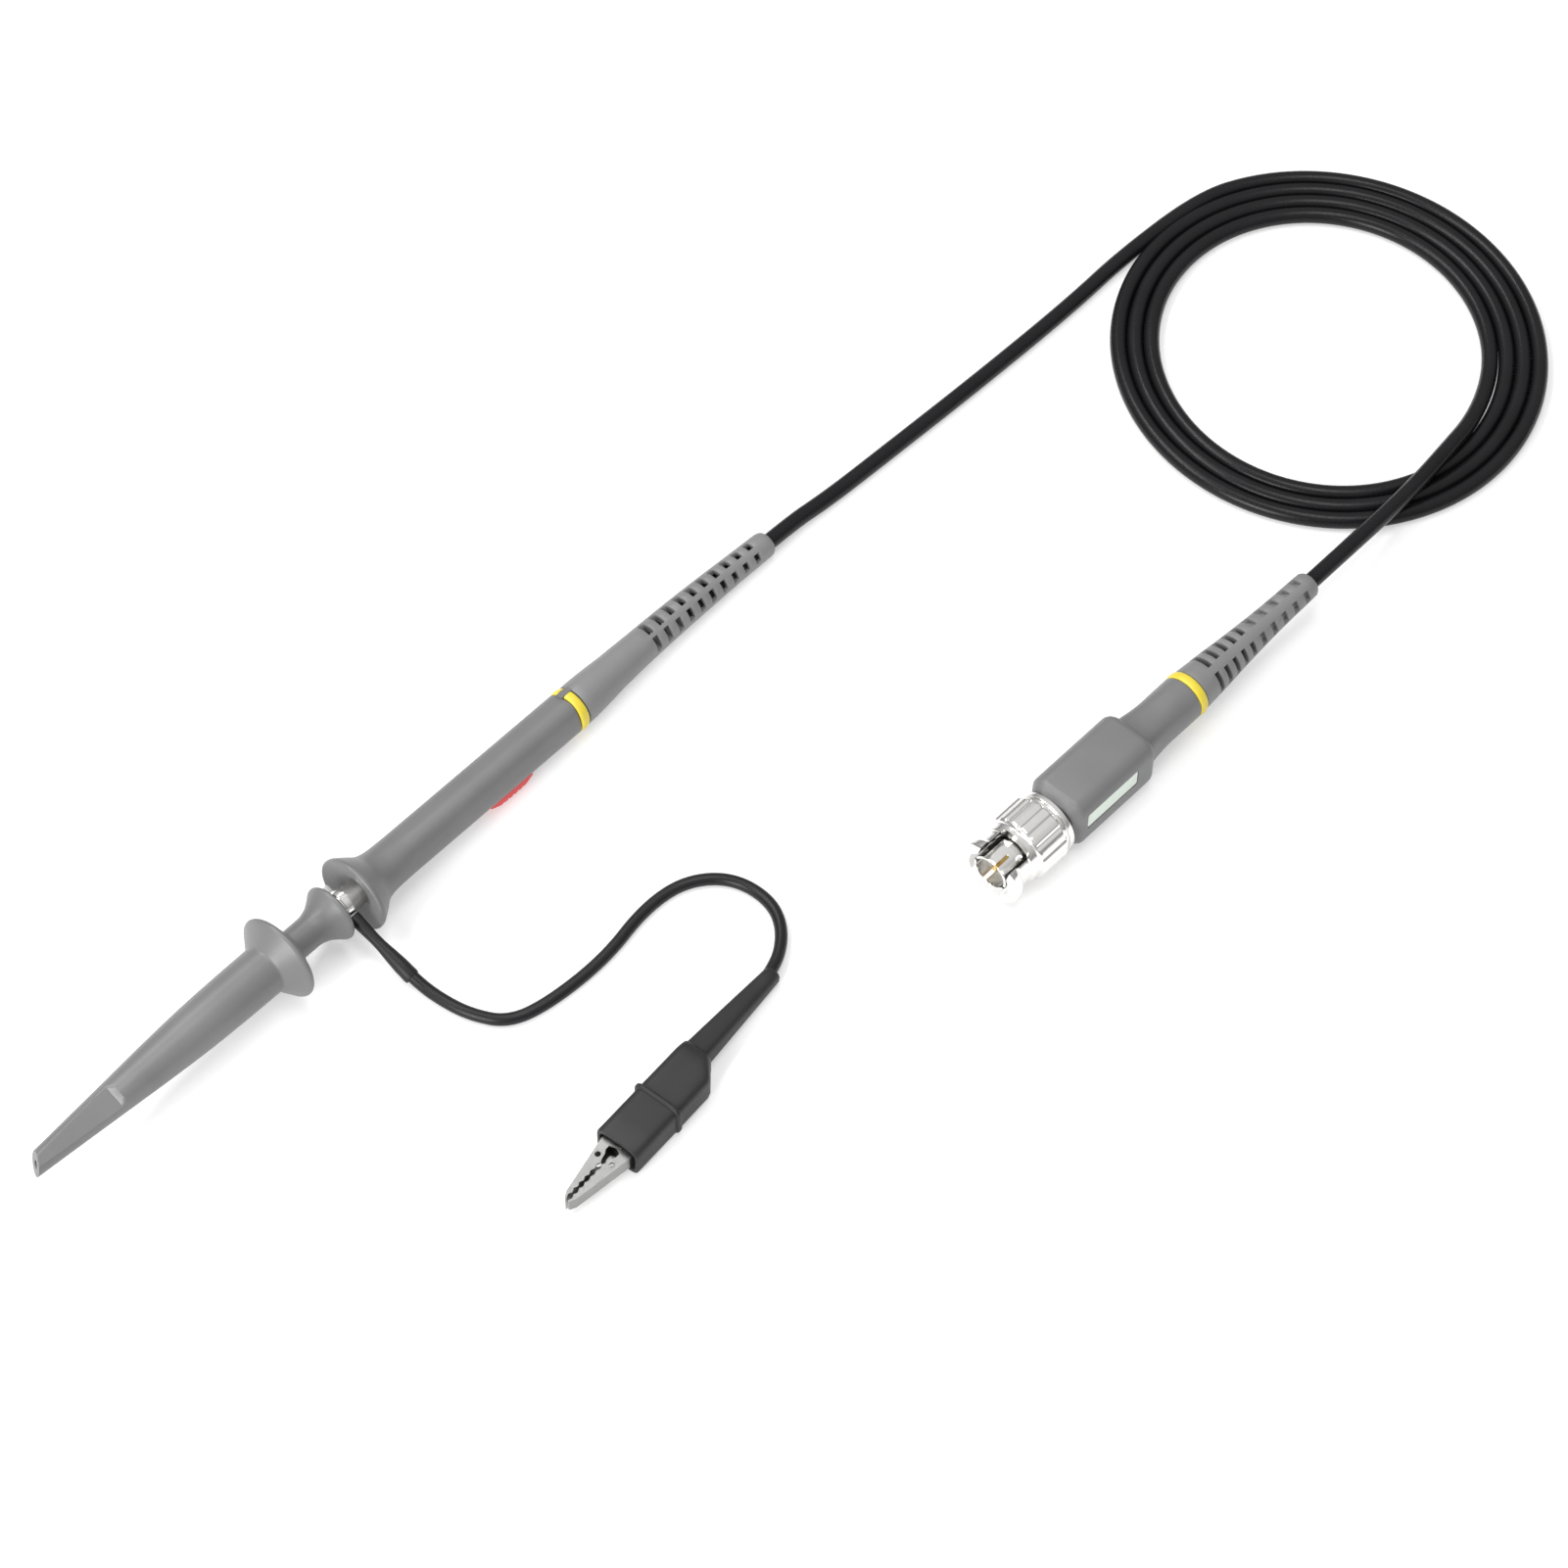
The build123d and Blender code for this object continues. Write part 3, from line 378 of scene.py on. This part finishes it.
def squared(angle, power):
    """Radius of a squarish ring, 1 at its corners; its flats face 45, 135, 225 and 315 degrees."""
    c, s = abs(cos(angle + pi / 4)), abs(sin(angle + pi / 4))
    return 2 ** (1 / power - 0.5) / (c ** power + s ** power) ** (1 / power)


def strip(bm, first, second, closed):
    for i in range(len(first) if closed else len(first) - 1):
        j = (i + 1) % len(first)
        bm.faces.new((first[i], first[j], second[j], second[i]))


def lathe(bm, axis, points, segments=96, section=None, arc=None, shape=None):
    """Outline turned about the axis. section scales a radius, shape moves (station, y, height)."""
    full = arc is None
    start, end = (0, 360) if full else arc
    rings = []
    for j in range(segments if full else segments + 1):
        angle = radians(start + (end - start) * j / segments)
        ring = []
        for station, radius in points:
            reach = radius * section(station, radius, angle) if section else radius
            place = (station, -reach * sin(angle), reach * cos(angle))
            ring.append(bm.verts.new(axis.at(*(shape(*place) if shape else place))))
        rings.append(ring)
    for first, second in zip(rings, rings[1:] + (rings[:1] if full else [])):
        strip(bm, first, second, True)
    if not full:
        bm.faces.new(rings[0])
        bm.faces.new(reversed(rings[-1]))


def loft(bm, rings, cap_start=True, cap_end=True):
    """Closed rings of points, in millimetres, joined into a skin."""
    made = [[bm.verts.new(Vector(p) * MM) for p in ring] for ring in rings]
    for first, second in zip(made, made[1:]):
        strip(bm, first, second, True)
    if cap_start:
        bm.faces.new(reversed(made[0]))
    if cap_end:
        bm.faces.new(made[-1])


def soft_rectangle(axis, station, y, height, half_width, half_height, power, count=64):
    """Ring of a superellipse across the axis, in millimetres."""
    ring = []
    for i in range(count):
        angle = 2 * pi * i / count
        c, s = cos(angle), sin(angle)
        across = half_width * (abs(c) ** (2 / power)) * (1 if c >= 0 else -1)
        up = half_height * (abs(s) ** (2 / power)) * (1 if s >= 0 else -1)
        ring.append(axis.at(station, y + across, height + up) / MM)
    return ring


def round_rectangle(axis, station, half_width, half_height, corner, y=0.0, height=0.0, steps=8):
    """Ring of a rectangle with round corners across the axis, in millimetres."""
    ring = []
    for sx, sy, start in ((1, 1, 0), (-1, 1, 90), (-1, -1, 180), (1, -1, 270)):
        for k in range(steps + 1):
            angle = radians(start + 90 * k / steps)
            ring.append(axis.at(station, y + sx * (half_width - corner) + corner * cos(angle),
                                height + sy * (half_height - corner) + corner * sin(angle)) / MM)
    return ring


def piece(name, bm, material, body, slot, *stands_for, sharp=40, bevel=0.0):
    bmesh.ops.remove_doubles(bm, verts=bm.verts, dist=0.001 * MM)
    bmesh.ops.recalc_face_normals(bm, faces=bm.faces)
    mesh = bpy.data.meshes.new(name)
    bm.to_mesh(mesh)
    bm.free()
    mesh.materials.append(material)
    made = bpy.data.objects.new(name, mesh)
    bpy.context.collection.objects.link(made)
    if bevel:
        edge = made.modifiers.new("edge", "BEVEL")
        edge.width = bevel * MM
        edge.segments = 2
        edge.limit_method = "ANGLE"
        edge.angle_limit = radians(sharp)
        apply_modifiers(made)
    smooth(made, sharp)
    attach(made, body)
    if stands_for:
        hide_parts(*stands_for)
    return made


def smooth(made, sharp):
    made.data.polygons.foreach_set("use_smooth", [True] * len(made.data.polygons))
    made.data.set_sharp_from_angle(angle=radians(sharp))


def apply_modifiers(made):
    bpy.context.view_layer.update()
    shown = made.evaluated_get(bpy.context.evaluated_depsgraph_get())
    mesh = bpy.data.meshes.new_from_object(shown)
    made.modifiers.clear()
    made.data = mesh


def carved(made, cutter_bm, sharp=40):
    """Takes the cutter's volume out of a piece."""
    bmesh.ops.recalc_face_normals(cutter_bm, faces=cutter_bm.faces)
    mesh = bpy.data.meshes.new("cutter")
    cutter_bm.to_mesh(mesh)
    cutter_bm.free()
    cutter = bpy.data.objects.new("cutter", mesh)
    bpy.context.collection.objects.link(cutter)
    cut = made.modifiers.new("cut", "BOOLEAN")
    cut.operation = "DIFFERENCE"
    cut.solver = "EXACT"
    cut.object = cutter
    apply_modifiers(made)
    bpy.data.objects.remove(cutter)
    smooth(made, sharp)


# ---------------------------------------------------------------- hook adapter
def add_hook_cover():
    """Nose, grip and finger flange in one moulding, planed flat on top of the nose."""
    outline = [(-2.7, 1.95), (3.3, 2.35, 2), (10, 2.8, 3), (20, 3.5, 5), (30, 4.22, 5),
               (40.8, 4.86, 5), (51, 5.05, 4), (58.7, 5.1, 0.35), (61.9, 8.85, 0.45),
               (62.5, 9.05, 0.3), (63.1, 8.7, 0.35), (63.9, 5.4, 0.4), (65, 5.0, 0.2), (65, 3.3),
               (61.6, 3.3), (61.6, 3.95), (37, 3.95), (35, 1.5), (12, 1.5), (9, 0.7), (-2.7, 0.7)]

    def planed(station, y, height):
        flat = 1.95 + 0.02 * station if station < 19.2 else 2.33 + 1.5 * (station - 19.2)
        slant = -2.5 + (y + 4) * 0.64
        return max(station, slant), y, min(height, flat)

    bm = bmesh.new()
    lathe(bm, head, dense(rounded(outline), 0.5), 128, shape=planed)
    piece("hook_cover_shell", bm, GREY, HOOK_COVER, "grey_plastic", "hook_sleeve")


def add_hook_barrel():
    outline = [(58, 3.9), (61.3, 3.9), (61.3, 3.25), (70.8, 3.26, 0.6), (72.9, 3.8, 1.2),
               (74.9, 5.1, 0.9), (75.9, 5.9, 0.3), (76.5, 6.0, 0.2), (76.9, 5.7, 0.25),
               (76.3, 3.6, 0.3), (76.2, 2.85), (73.4, 2.85), (73.4, 2.0), (70.1, 2.0),
               (70.1, 1.52), (58, 1.52)]
    bm = bmesh.new()
    lathe(bm, head, dense(rounded(outline), 1.0), 96)
    piece("hook_barrel_shell", bm, GREY, HOOK, "grey_plastic", "hook_barrel")


# ---------------------------------------------------------------- probe body
GRIP_SQUARE = 2.75
SWITCH_START, SWITCH_LENGTH, SWITCH_TRAVEL = 116.6, 11.6, 3.0
SWITCH_SIDE, RING_KEY_SIDE = 135, -45


def add_probe_body():
    """Finger guard and soft-squared grip, with the pad and window of the switch below."""
    outline = [(81.85, 7.85, 0.2), (82.2, 8.17, 0.2), (82.9, 8.1, 0.35), (84.9, 6.85, 1.2),
               (87.0, 5.25, 1.2), (89.6, 4.68, 1.5), (94, 4.56, 2), (141.5, 4.56, 0.2), (141.5, 3.5),
               (86, 3.5), (86, 2.75), (83.4, 2.75), (82.75, 4.3, 0.5), (82.3, 6.3, 1.0)]

    def grip(station, radius, angle):
        if radius < 4.2 or station < 88:
            return 1.0
        share = min(1.0, (station - 88) / 8)
        return 1 + share * (squared(angle, GRIP_SQUARE) - 1)

    bm = bmesh.new()
    lathe(bm, head, dense(rounded(outline), 1.2), 128, section=grip)
    body = piece("probe_body_shell", bm, GREY, PROBE, "grey_plastic", "probe_body")
    half = (SWITCH_LENGTH + SWITCH_TRAVEL) / 2
    upright = head.rolled(SWITCH_SIDE).upright(SWITCH_START + half)
    pad = bmesh.new()
    loft(pad, [round_rectangle(upright, h, half + 0.6, 2.7, 1.6) for h in (3.92, 6.5)])
    carved(body, pad)
    window = bmesh.new()
    loft(window, [round_rectangle(upright, h, 4.0, 1.3, 0.4) for h in (2.5, 4.5)])
    carved(body, window)
    key = bmesh.new()
    key_side = head.rolled(RING_KEY_SIDE)
    loft(key, [round_rectangle(key_side, s, 0.84, 0.26, 0.12, height=4.38) for s in (141.2, 144.0)])
    piece("ring_key", key, GREY, PROBE, "grey_plastic")


def add_colour_ring(name, axis, start, radius, stands_for, gap_at=None, gap=0.0):
    outline = [(start + 0.05, radius - 0.2, 0.2), (start + 0.5, radius, 0.5),
               (start + 1.6, radius, 0.5), (start + 2.1, radius - 0.2, 0.2), (start + 2.1, 4.12),
               (start + 0.05, 4.12)]
    bm = bmesh.new()
    arc = None if gap_at is None else (gap_at + gap / 2, gap_at + 360 - gap / 2)
    lathe(bm, axis, rounded(outline), 120, arc=arc)
    piece(name, bm, YELLOW, PROBE, "yellow_plastic", stands_for)


# ---------------------------------------------------------------- strain reliefs
SKIN, HOLE, DIMPLE = 0, 1, 2          # what a cell of a relief is, and the level its face lies at
RELIEF_BORE, DIMPLE_DEPTH = 1.78, 1.0
CELL_LENGTH, CELL_ANGLE = 1.2, 3.75


def relief_stations(profile, slots):
    """Stations of the grid's rings: every corner of the profile, both ends of every slot."""
    corners = {round(s, 3) for s, _ in profile}
    for station, width, _, _ in slots:
        corners |= {round(station - width / 2, 3), round(station + width / 2, 3)}
    corners = sorted(corners)
    stations = []
    for a, b in zip(corners, corners[1:]):
        count = max(1, int((b - a) / CELL_LENGTH))
        stations += [a + (b - a) * k / count for k in range(count)]
    return stations + [corners[-1]]


def add_relief(name, axis, profile, slots, rows, bow, stands_for):
    """Strain relief with rows of slots, bowed sideways. A slot is (station, width, half angle, kind)."""
    start, end = profile[0][0], profile[-1][0]
    stations = relief_stations(profile, slots)
    around = int(360 / CELL_ANGLE)
    bm = bmesh.new()
    made = {}

    def kind_of(i, j):
        middle = (stations[i] + stations[i + 1]) / 2
        away = min(abs(((j + 0.5) * CELL_ANGLE - row + 180) % 360 - 180) for row in rows)
        for station, width, half, kind in slots:
            if abs(middle - station) < width / 2 and away < half:
                return kind
        return SKIN

    def vertex(i, j, level):
        key = (i, j % around, level)
        if key not in made:
            skin = between(stations[i], profile)
            radius = {SKIN: skin, HOLE: RELIEF_BORE, DIMPLE: skin - DIMPLE_DEPTH}[level]
            aside = bow * sin(pi * (stations[i] - start) / (end - start))
            made[key] = bm.verts.new(axis.ring(stations[i], radius, radians(j * CELL_ANGLE))
                                     + Vector((0, aside * MM, 0)))
        return made[key]

    def cell(i, j, level):
        bm.faces.new([vertex(*c, level) for c in ((i, j), (i + 1, j), (i + 1, j + 1), (i, j + 1))])

    def wall(first, second, top, bottom):
        """Face between two levels along a cell's edge, where they differ."""
        if top != bottom:
            bm.faces.new((vertex(*first, top), vertex(*second, top), vertex(*second, bottom),
                          vertex(*first, bottom)))

    last = len(stations) - 1
    kinds = {(i, j): kind_of(i, j) for i in range(last) for j in range(around)}
    for (i, j), kind in kinds.items():
        if kind != HOLE:
            cell(i, j, kind)
            cell(i, j, HOLE)
        wall((i, j + 1), (i + 1, j + 1), kind, kinds[(i, (j + 1) % around)])
        if i + 1 < last:
            wall((i + 1, j), (i + 1, j + 1), kind, kinds[(i + 1, j)])
    for j in range(around):
        wall((0, j), (0, j + 1), SKIN, HOLE)
        wall((last, j), (last, j + 1), SKIN, HOLE)
    piece(name, bm, GREY_LIGHT, PROBE, "grey_plastic", stands_for, sharp=50, bevel=0.1)


def add_head_relief():
    profile = [(144, 4.50), (146, 4.5), (149, 4.38), (151, 4.24), (153, 4.1), (155, 3.95),
               (159, 3.8), (163, 3.65), (167, 3.55), (175, 3.37), (183, 3.17), (191, 2.95),
               (199.6, 2.8), (200.3, 2.7), (200.8, 2.45)]
    slots = [(165.9 + 3.32 * i, 1.5, 28 - 0.8 * i, HOLE) for i in range(10)]
    add_relief("probe_relief", head, profile, slots, (36, 144, 216, 324), 0.6, "probe_boot")


def add_bnc_relief():
    profile = [(59.4, 4.72), (63.5, 4.45), (67.5, 4.17), (71.5, 3.82), (75.5, 3.55), (79.5, 3.3),
               (83.5, 3.1), (87.6, 2.96), (93.6, 2.86), (95.2, 2.78), (95.7, 2.5)]
    slots = [(64.1 + 2.73 * i, 1.3, 32 - i, HOLE) for i in range(5)]
    slots += [(78.3 + 3.48 * i, 1.5, 25, DIMPLE) for i in range(5)]
    add_relief("bnc_relief", bnc.rolled(BNC_ROLL), profile, slots, (45, 135, 225, 315), 0.0,
               "bnc_boot")


# ---------------------------------------------------------------- compensation box
BOX_START, BOX_END, BOX_HALF, BOX_CORNER = 18.0, 41.5, 6.5, 3.4
LABEL_MIDDLE, LABEL_HALF_LENGTH, LABEL_HALF_HEIGHT, LABEL_LOW = 28.8, 7.4, 2.1, 1.2
TRIMMER_AT = 30


def add_box():
    """Squarish housing with its label pocket and the trimmer's hole."""
    bm = bmesh.new()
    steps = [(BOX_START, 1.3), (18.2, 1.15), (18.8, 0.9), (19.7, 0.25), (20.1, 0.06), (20.6, 0.0),
             (28, 0.0), (39.8, 0.0), (40.4, 0.06), (41.0, 0.3), (41.4, 0.62), (BOX_END, 0.95)]
    rings = [round_rectangle(bnc, s, BOX_HALF - inset, BOX_HALF - inset, BOX_CORNER - inset * 0.4)
             for s, inset in steps]
    inside = [round_rectangle(bnc, s, r, r, min(r - 0.01, 2.4)) for s, r in
              ((BOX_END, 4.9), (39.6, 4.9), (39.6, 5.2), (20.4, 5.2), (20.4, 4.65),
               (BOX_START, 4.65))]
    loft(bm, rings + inside + rings[:1], False, False)
    box = piece("compensation_shell", bm, GREY, PROBE, "grey_plastic", "compensation_box", sharp=55)
    upright = bnc.rolled(90).upright(LABEL_MIDDLE)

    def label(depth, gap, corner):
        return round_rectangle(upright, depth, LABEL_HALF_LENGTH - gap, LABEL_HALF_HEIGHT - gap, corner,
                               height=LABEL_LOW)

    pocket = bmesh.new()
    loft(pocket, [label(depth, 0, 0.5) for depth in (6.0, 8.0)])
    carved(box, pocket, 55)
    hole = bmesh.new()
    trimmer = bnc.turned(TRIMMER_AT, bnc.y, -bnc.x, bnc.z)
    lathe(hole, trimmer, ((4.5, 0.001), (4.5, 1.35), (8, 1.35), (8, 0.001)), 48)
    bmesh.ops.remove_doubles(hole, verts=hole.verts, dist=0.01 * MM)
    carved(box, hole, 55)
    plate = bmesh.new()
    loft(plate, [label(depth, gap, 0.45)
                 for depth, gap in ((6.0, 0.1), (6.28, 0.1), (6.36, 0.16), (6.38, 0.3))])
    piece("blank_label", plate, LABEL_MINT, PROBE, "white_plastic", "label_plate")


def add_neck():
    """Rounded square where it leaves the box, round at its ring."""
    outline = [(41.4, 5.6), (42.2, 5.5, 0.4), (45.0, 5.12, 1.4), (48.4, 4.85, 1.4), (53, 4.85, 1.4),
               (57.1, 4.85, 0.2), (57.1, 3.2), (39.5, 3.2), (39.5, 4.85), (41.4, 4.85)]

    def section(station, radius, angle):
        if radius < 4.7 or station < 41.3:
            return 1.0
        return 1 + max(0.0, min(1.0, (53 - station) / 9)) * (squared(angle + pi / 4, 3.2) * 1.03 - 1)

    bm = bmesh.new()
    lathe(bm, bnc, dense(rounded(outline), 0.8), 96, section=section)
    piece("neck_shell", bm, GREY, PROBE, "grey_plastic", "compensation_neck")


# ---------------------------------------------------------------- BNC plug
WINDOW_ROLL = 14
FLUTES_FROM = 7.9


def add_coupling():
    """Bayonet ring: lipped mouth, open bayonet windows, fluted grip."""
    outline = [(0.0, 4.95, 0.1), (0.0, 6.8, 0.3), (0.4, 7.22, 0.3), (1.9, 7.22, 0.4), (2.7, 6.05, 0.5),
               (5.6, 5.95, 0.3), (5.9, 6.45, 0.25), (7.7, 6.5, 0.2), (7.9, 7.0, 0.25),
               (8.4, 7.25, 0.25), (14.8, 7.25, 0.25), (15.2, 7.0, 0.15), (15.3, 6.4), (16.1, 6.4),
               (16.2, 6.8, 0.15), (17.4, 6.7, 0.2), (17.4, 6.0, 0.15), (13.6, 6.0), (13.6, 4.65),
               (12.35, 4.65), (12.35, 6.0), (8.9, 6.0), (8.9, 4.9), (0.6, 4.9, 0.1)]

    def fluted(station, radius, angle):
        if radius < 6.9 or station < FLUTES_FROM:
            return 1.0
        deep = 0.04 * min(1.0, (station - FLUTES_FROM) / 0.5)
        return 1 - deep * max(0.0, cos(16 * angle)) ** 1.5

    bm = bmesh.new()
    lathe(bm, bnc, dense(rounded(outline), 0.7), 192, section=fluted)
    ring = piece("coupling_shell", bm, NICKEL, "coupling", "nickel", "bnc_coupling")
    for turn in (WINDOW_ROLL, WINDOW_ROLL + 180):
        upright = bnc.rolled(turn).upright()
        window = bmesh.new()
        loft(window, [round_rectangle(upright, h, 4.3, 3.7, 1.0, y=2.3) for h in (3, 9)])
        carved(ring, window)


def add_contact():
    """Outer contact with its four spring slots and shoulder, on the stem."""
    outline = [(0.4, 3.5, 0.1), (0.4, 3.95, 0.12), (0.7, 4.05, 0.2), (7.1, 4.05), (7.1, 4.4),
               (8.0, 4.4), (8.0, 4.8, 0.1), (9.9, 4.8, 0.1), (9.9, 4.6), (13.7, 4.6), (13.7, 4.3),
               (14.4, 4.3), (14.4, 4.6), (22.5, 4.6), (22.5, 1.2), (21.2, 1.2), (21.2, 3.45),
               (0.7, 3.45, 0.1)]
    bm = bmesh.new()
    lathe(bm, bnc, dense(rounded(outline), 2.5), 96)
    contact = piece("contact_shell", bm, NICKEL, PROBE, "nickel", "bnc_contact")
    for turn in (BNC_ROLL, BNC_ROLL + 90):
        upright = bnc.rolled(turn).upright()
        slot = bmesh.new()
        loft(slot, [round_rectangle(upright, h, 2.3, 0.4, 0.35, y=1.7) for h in (-6, 6)])
        carved(contact, slot)


# ---------------------------------------------------------------- ground lead
def add_clip_boot():
    """Soft boot: slim tail over the lead, slanted shoulder, square body with one rib."""
    outer = [(-23.9, -2.7, -1.8, 1.45, 1.45, 2.2), (-23.4, -2.7, -1.8, 1.75, 1.8, 2.3),
             (-21.0, -2.65, -1.7, 1.85, 1.85, 2.5), (-12, -2.4, -1.1, 2.2, 2.2, 3.2),
             (-4, -2.15, -0.6, 2.5, 2.5, 3.8), (-0.4, -2.05, -0.4, 2.65, 2.65, 4),
             (0.1, -1.65, -0.2, 3.25, 3.1, 4.2), (1.0, -1.3, -0.05, 3.55, 3.45, 4.6),
             (2.6, -0.7, 0.0, 4.2, 3.65, 5), (4.0, -0.15, 0.0, 4.75, 3.68, 5.2),
             (5.0, 0, 0, 4.86, 3.7, 5.4), (9, 0, 0, 4.88, 3.7, 5.4), (13.0, 0, 0, 4.9, 3.7, 5.4),
             (13.15, 0, 0.2, 5.3, 3.9, 5.4), (13.4, 0, 0.28, 5.42, 3.98, 5.4),
             (13.9, 0, 0.28, 5.42, 3.98, 5.4), (14.1, 0, 0.2, 5.3, 3.9, 5.4),
             (14.25, 0, 0, 4.9, 3.7, 5.4),
             (20, 0, 0, 4.9, 3.7, 5.4), (25.3, 0, 0, 4.9, 3.7, 5.4), (25.5, 0, 0, 4.8, 3.6, 5.4)]
    inner = [(25.5, 0, 0, 4.25, 2.95, 5), (25.3, 0, 0, 4.15, 2.8, 5), (8, 0, 0, 4.15, 2.8, 5),
             (5.2, 0, 0, 3.0, 2.5, 4)]
    bm = bmesh.new()
    loft(bm, [soft_rectangle(clip, *ring, count=96) for ring in outer + inner])
    piece("clip_boot_shell", bm, CLIP_RUBBER, CLIP, "boot_rubber", "clip_boot", sharp=42)


def add_strap():
    """Insulated strap from the ring's ear, widening into the sleeve that grips the lead."""
    outer = [(3.2, 1.1, 1.0, 4), (3.4, 1.28, 1.15, 4), (6, 1.2, 1.1, 3.4), (9, 1.08, 1.05, 2.6),
             (11, 1.15, 1.13, 2.2), (13.5, 1.38, 1.38, 2), (16, 1.57, 1.57, 2), (19.1, 1.62, 1.62, 2),
             (19.45, 1.5, 1.5, 2)]
    inner = [(19.45, 1.27, 1.27, 2), (13.2, 1.27, 1.27, 2)]
    bm = bmesh.new()
    loft(bm, [soft_rectangle(lead_axis, station, 0, 0, *rest, count=48)
              for station, *rest in outer + inner])
    piece("lead_strap", bm, SHRINK, CLIP, "cable_black", "ground_insulator", "ground_sleeve", sharp=50)


add_hook_cover()
add_hook_barrel()
add_probe_body()
add_colour_ring("body_colour_ring", head, 141.6, 4.7, "body_ring", gap_at=RING_KEY_SIDE, gap=24)
add_colour_ring("bnc_colour_ring", bnc, 57.15, 5.0, "bnc_ring")
add_head_relief()
add_bnc_relief()
add_box()
add_neck()
add_coupling()
add_contact()
add_clip_boot()
add_strap()

main_cord = add_main_cord()
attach(main_cord, PROBE)
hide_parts("main_cable", "cable_coil", "cable_tail")
ground_cord = add_ground_cord()
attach(ground_cord, CLIP)
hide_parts("ground_lead")
tuple(lead_axis.at(19.5))
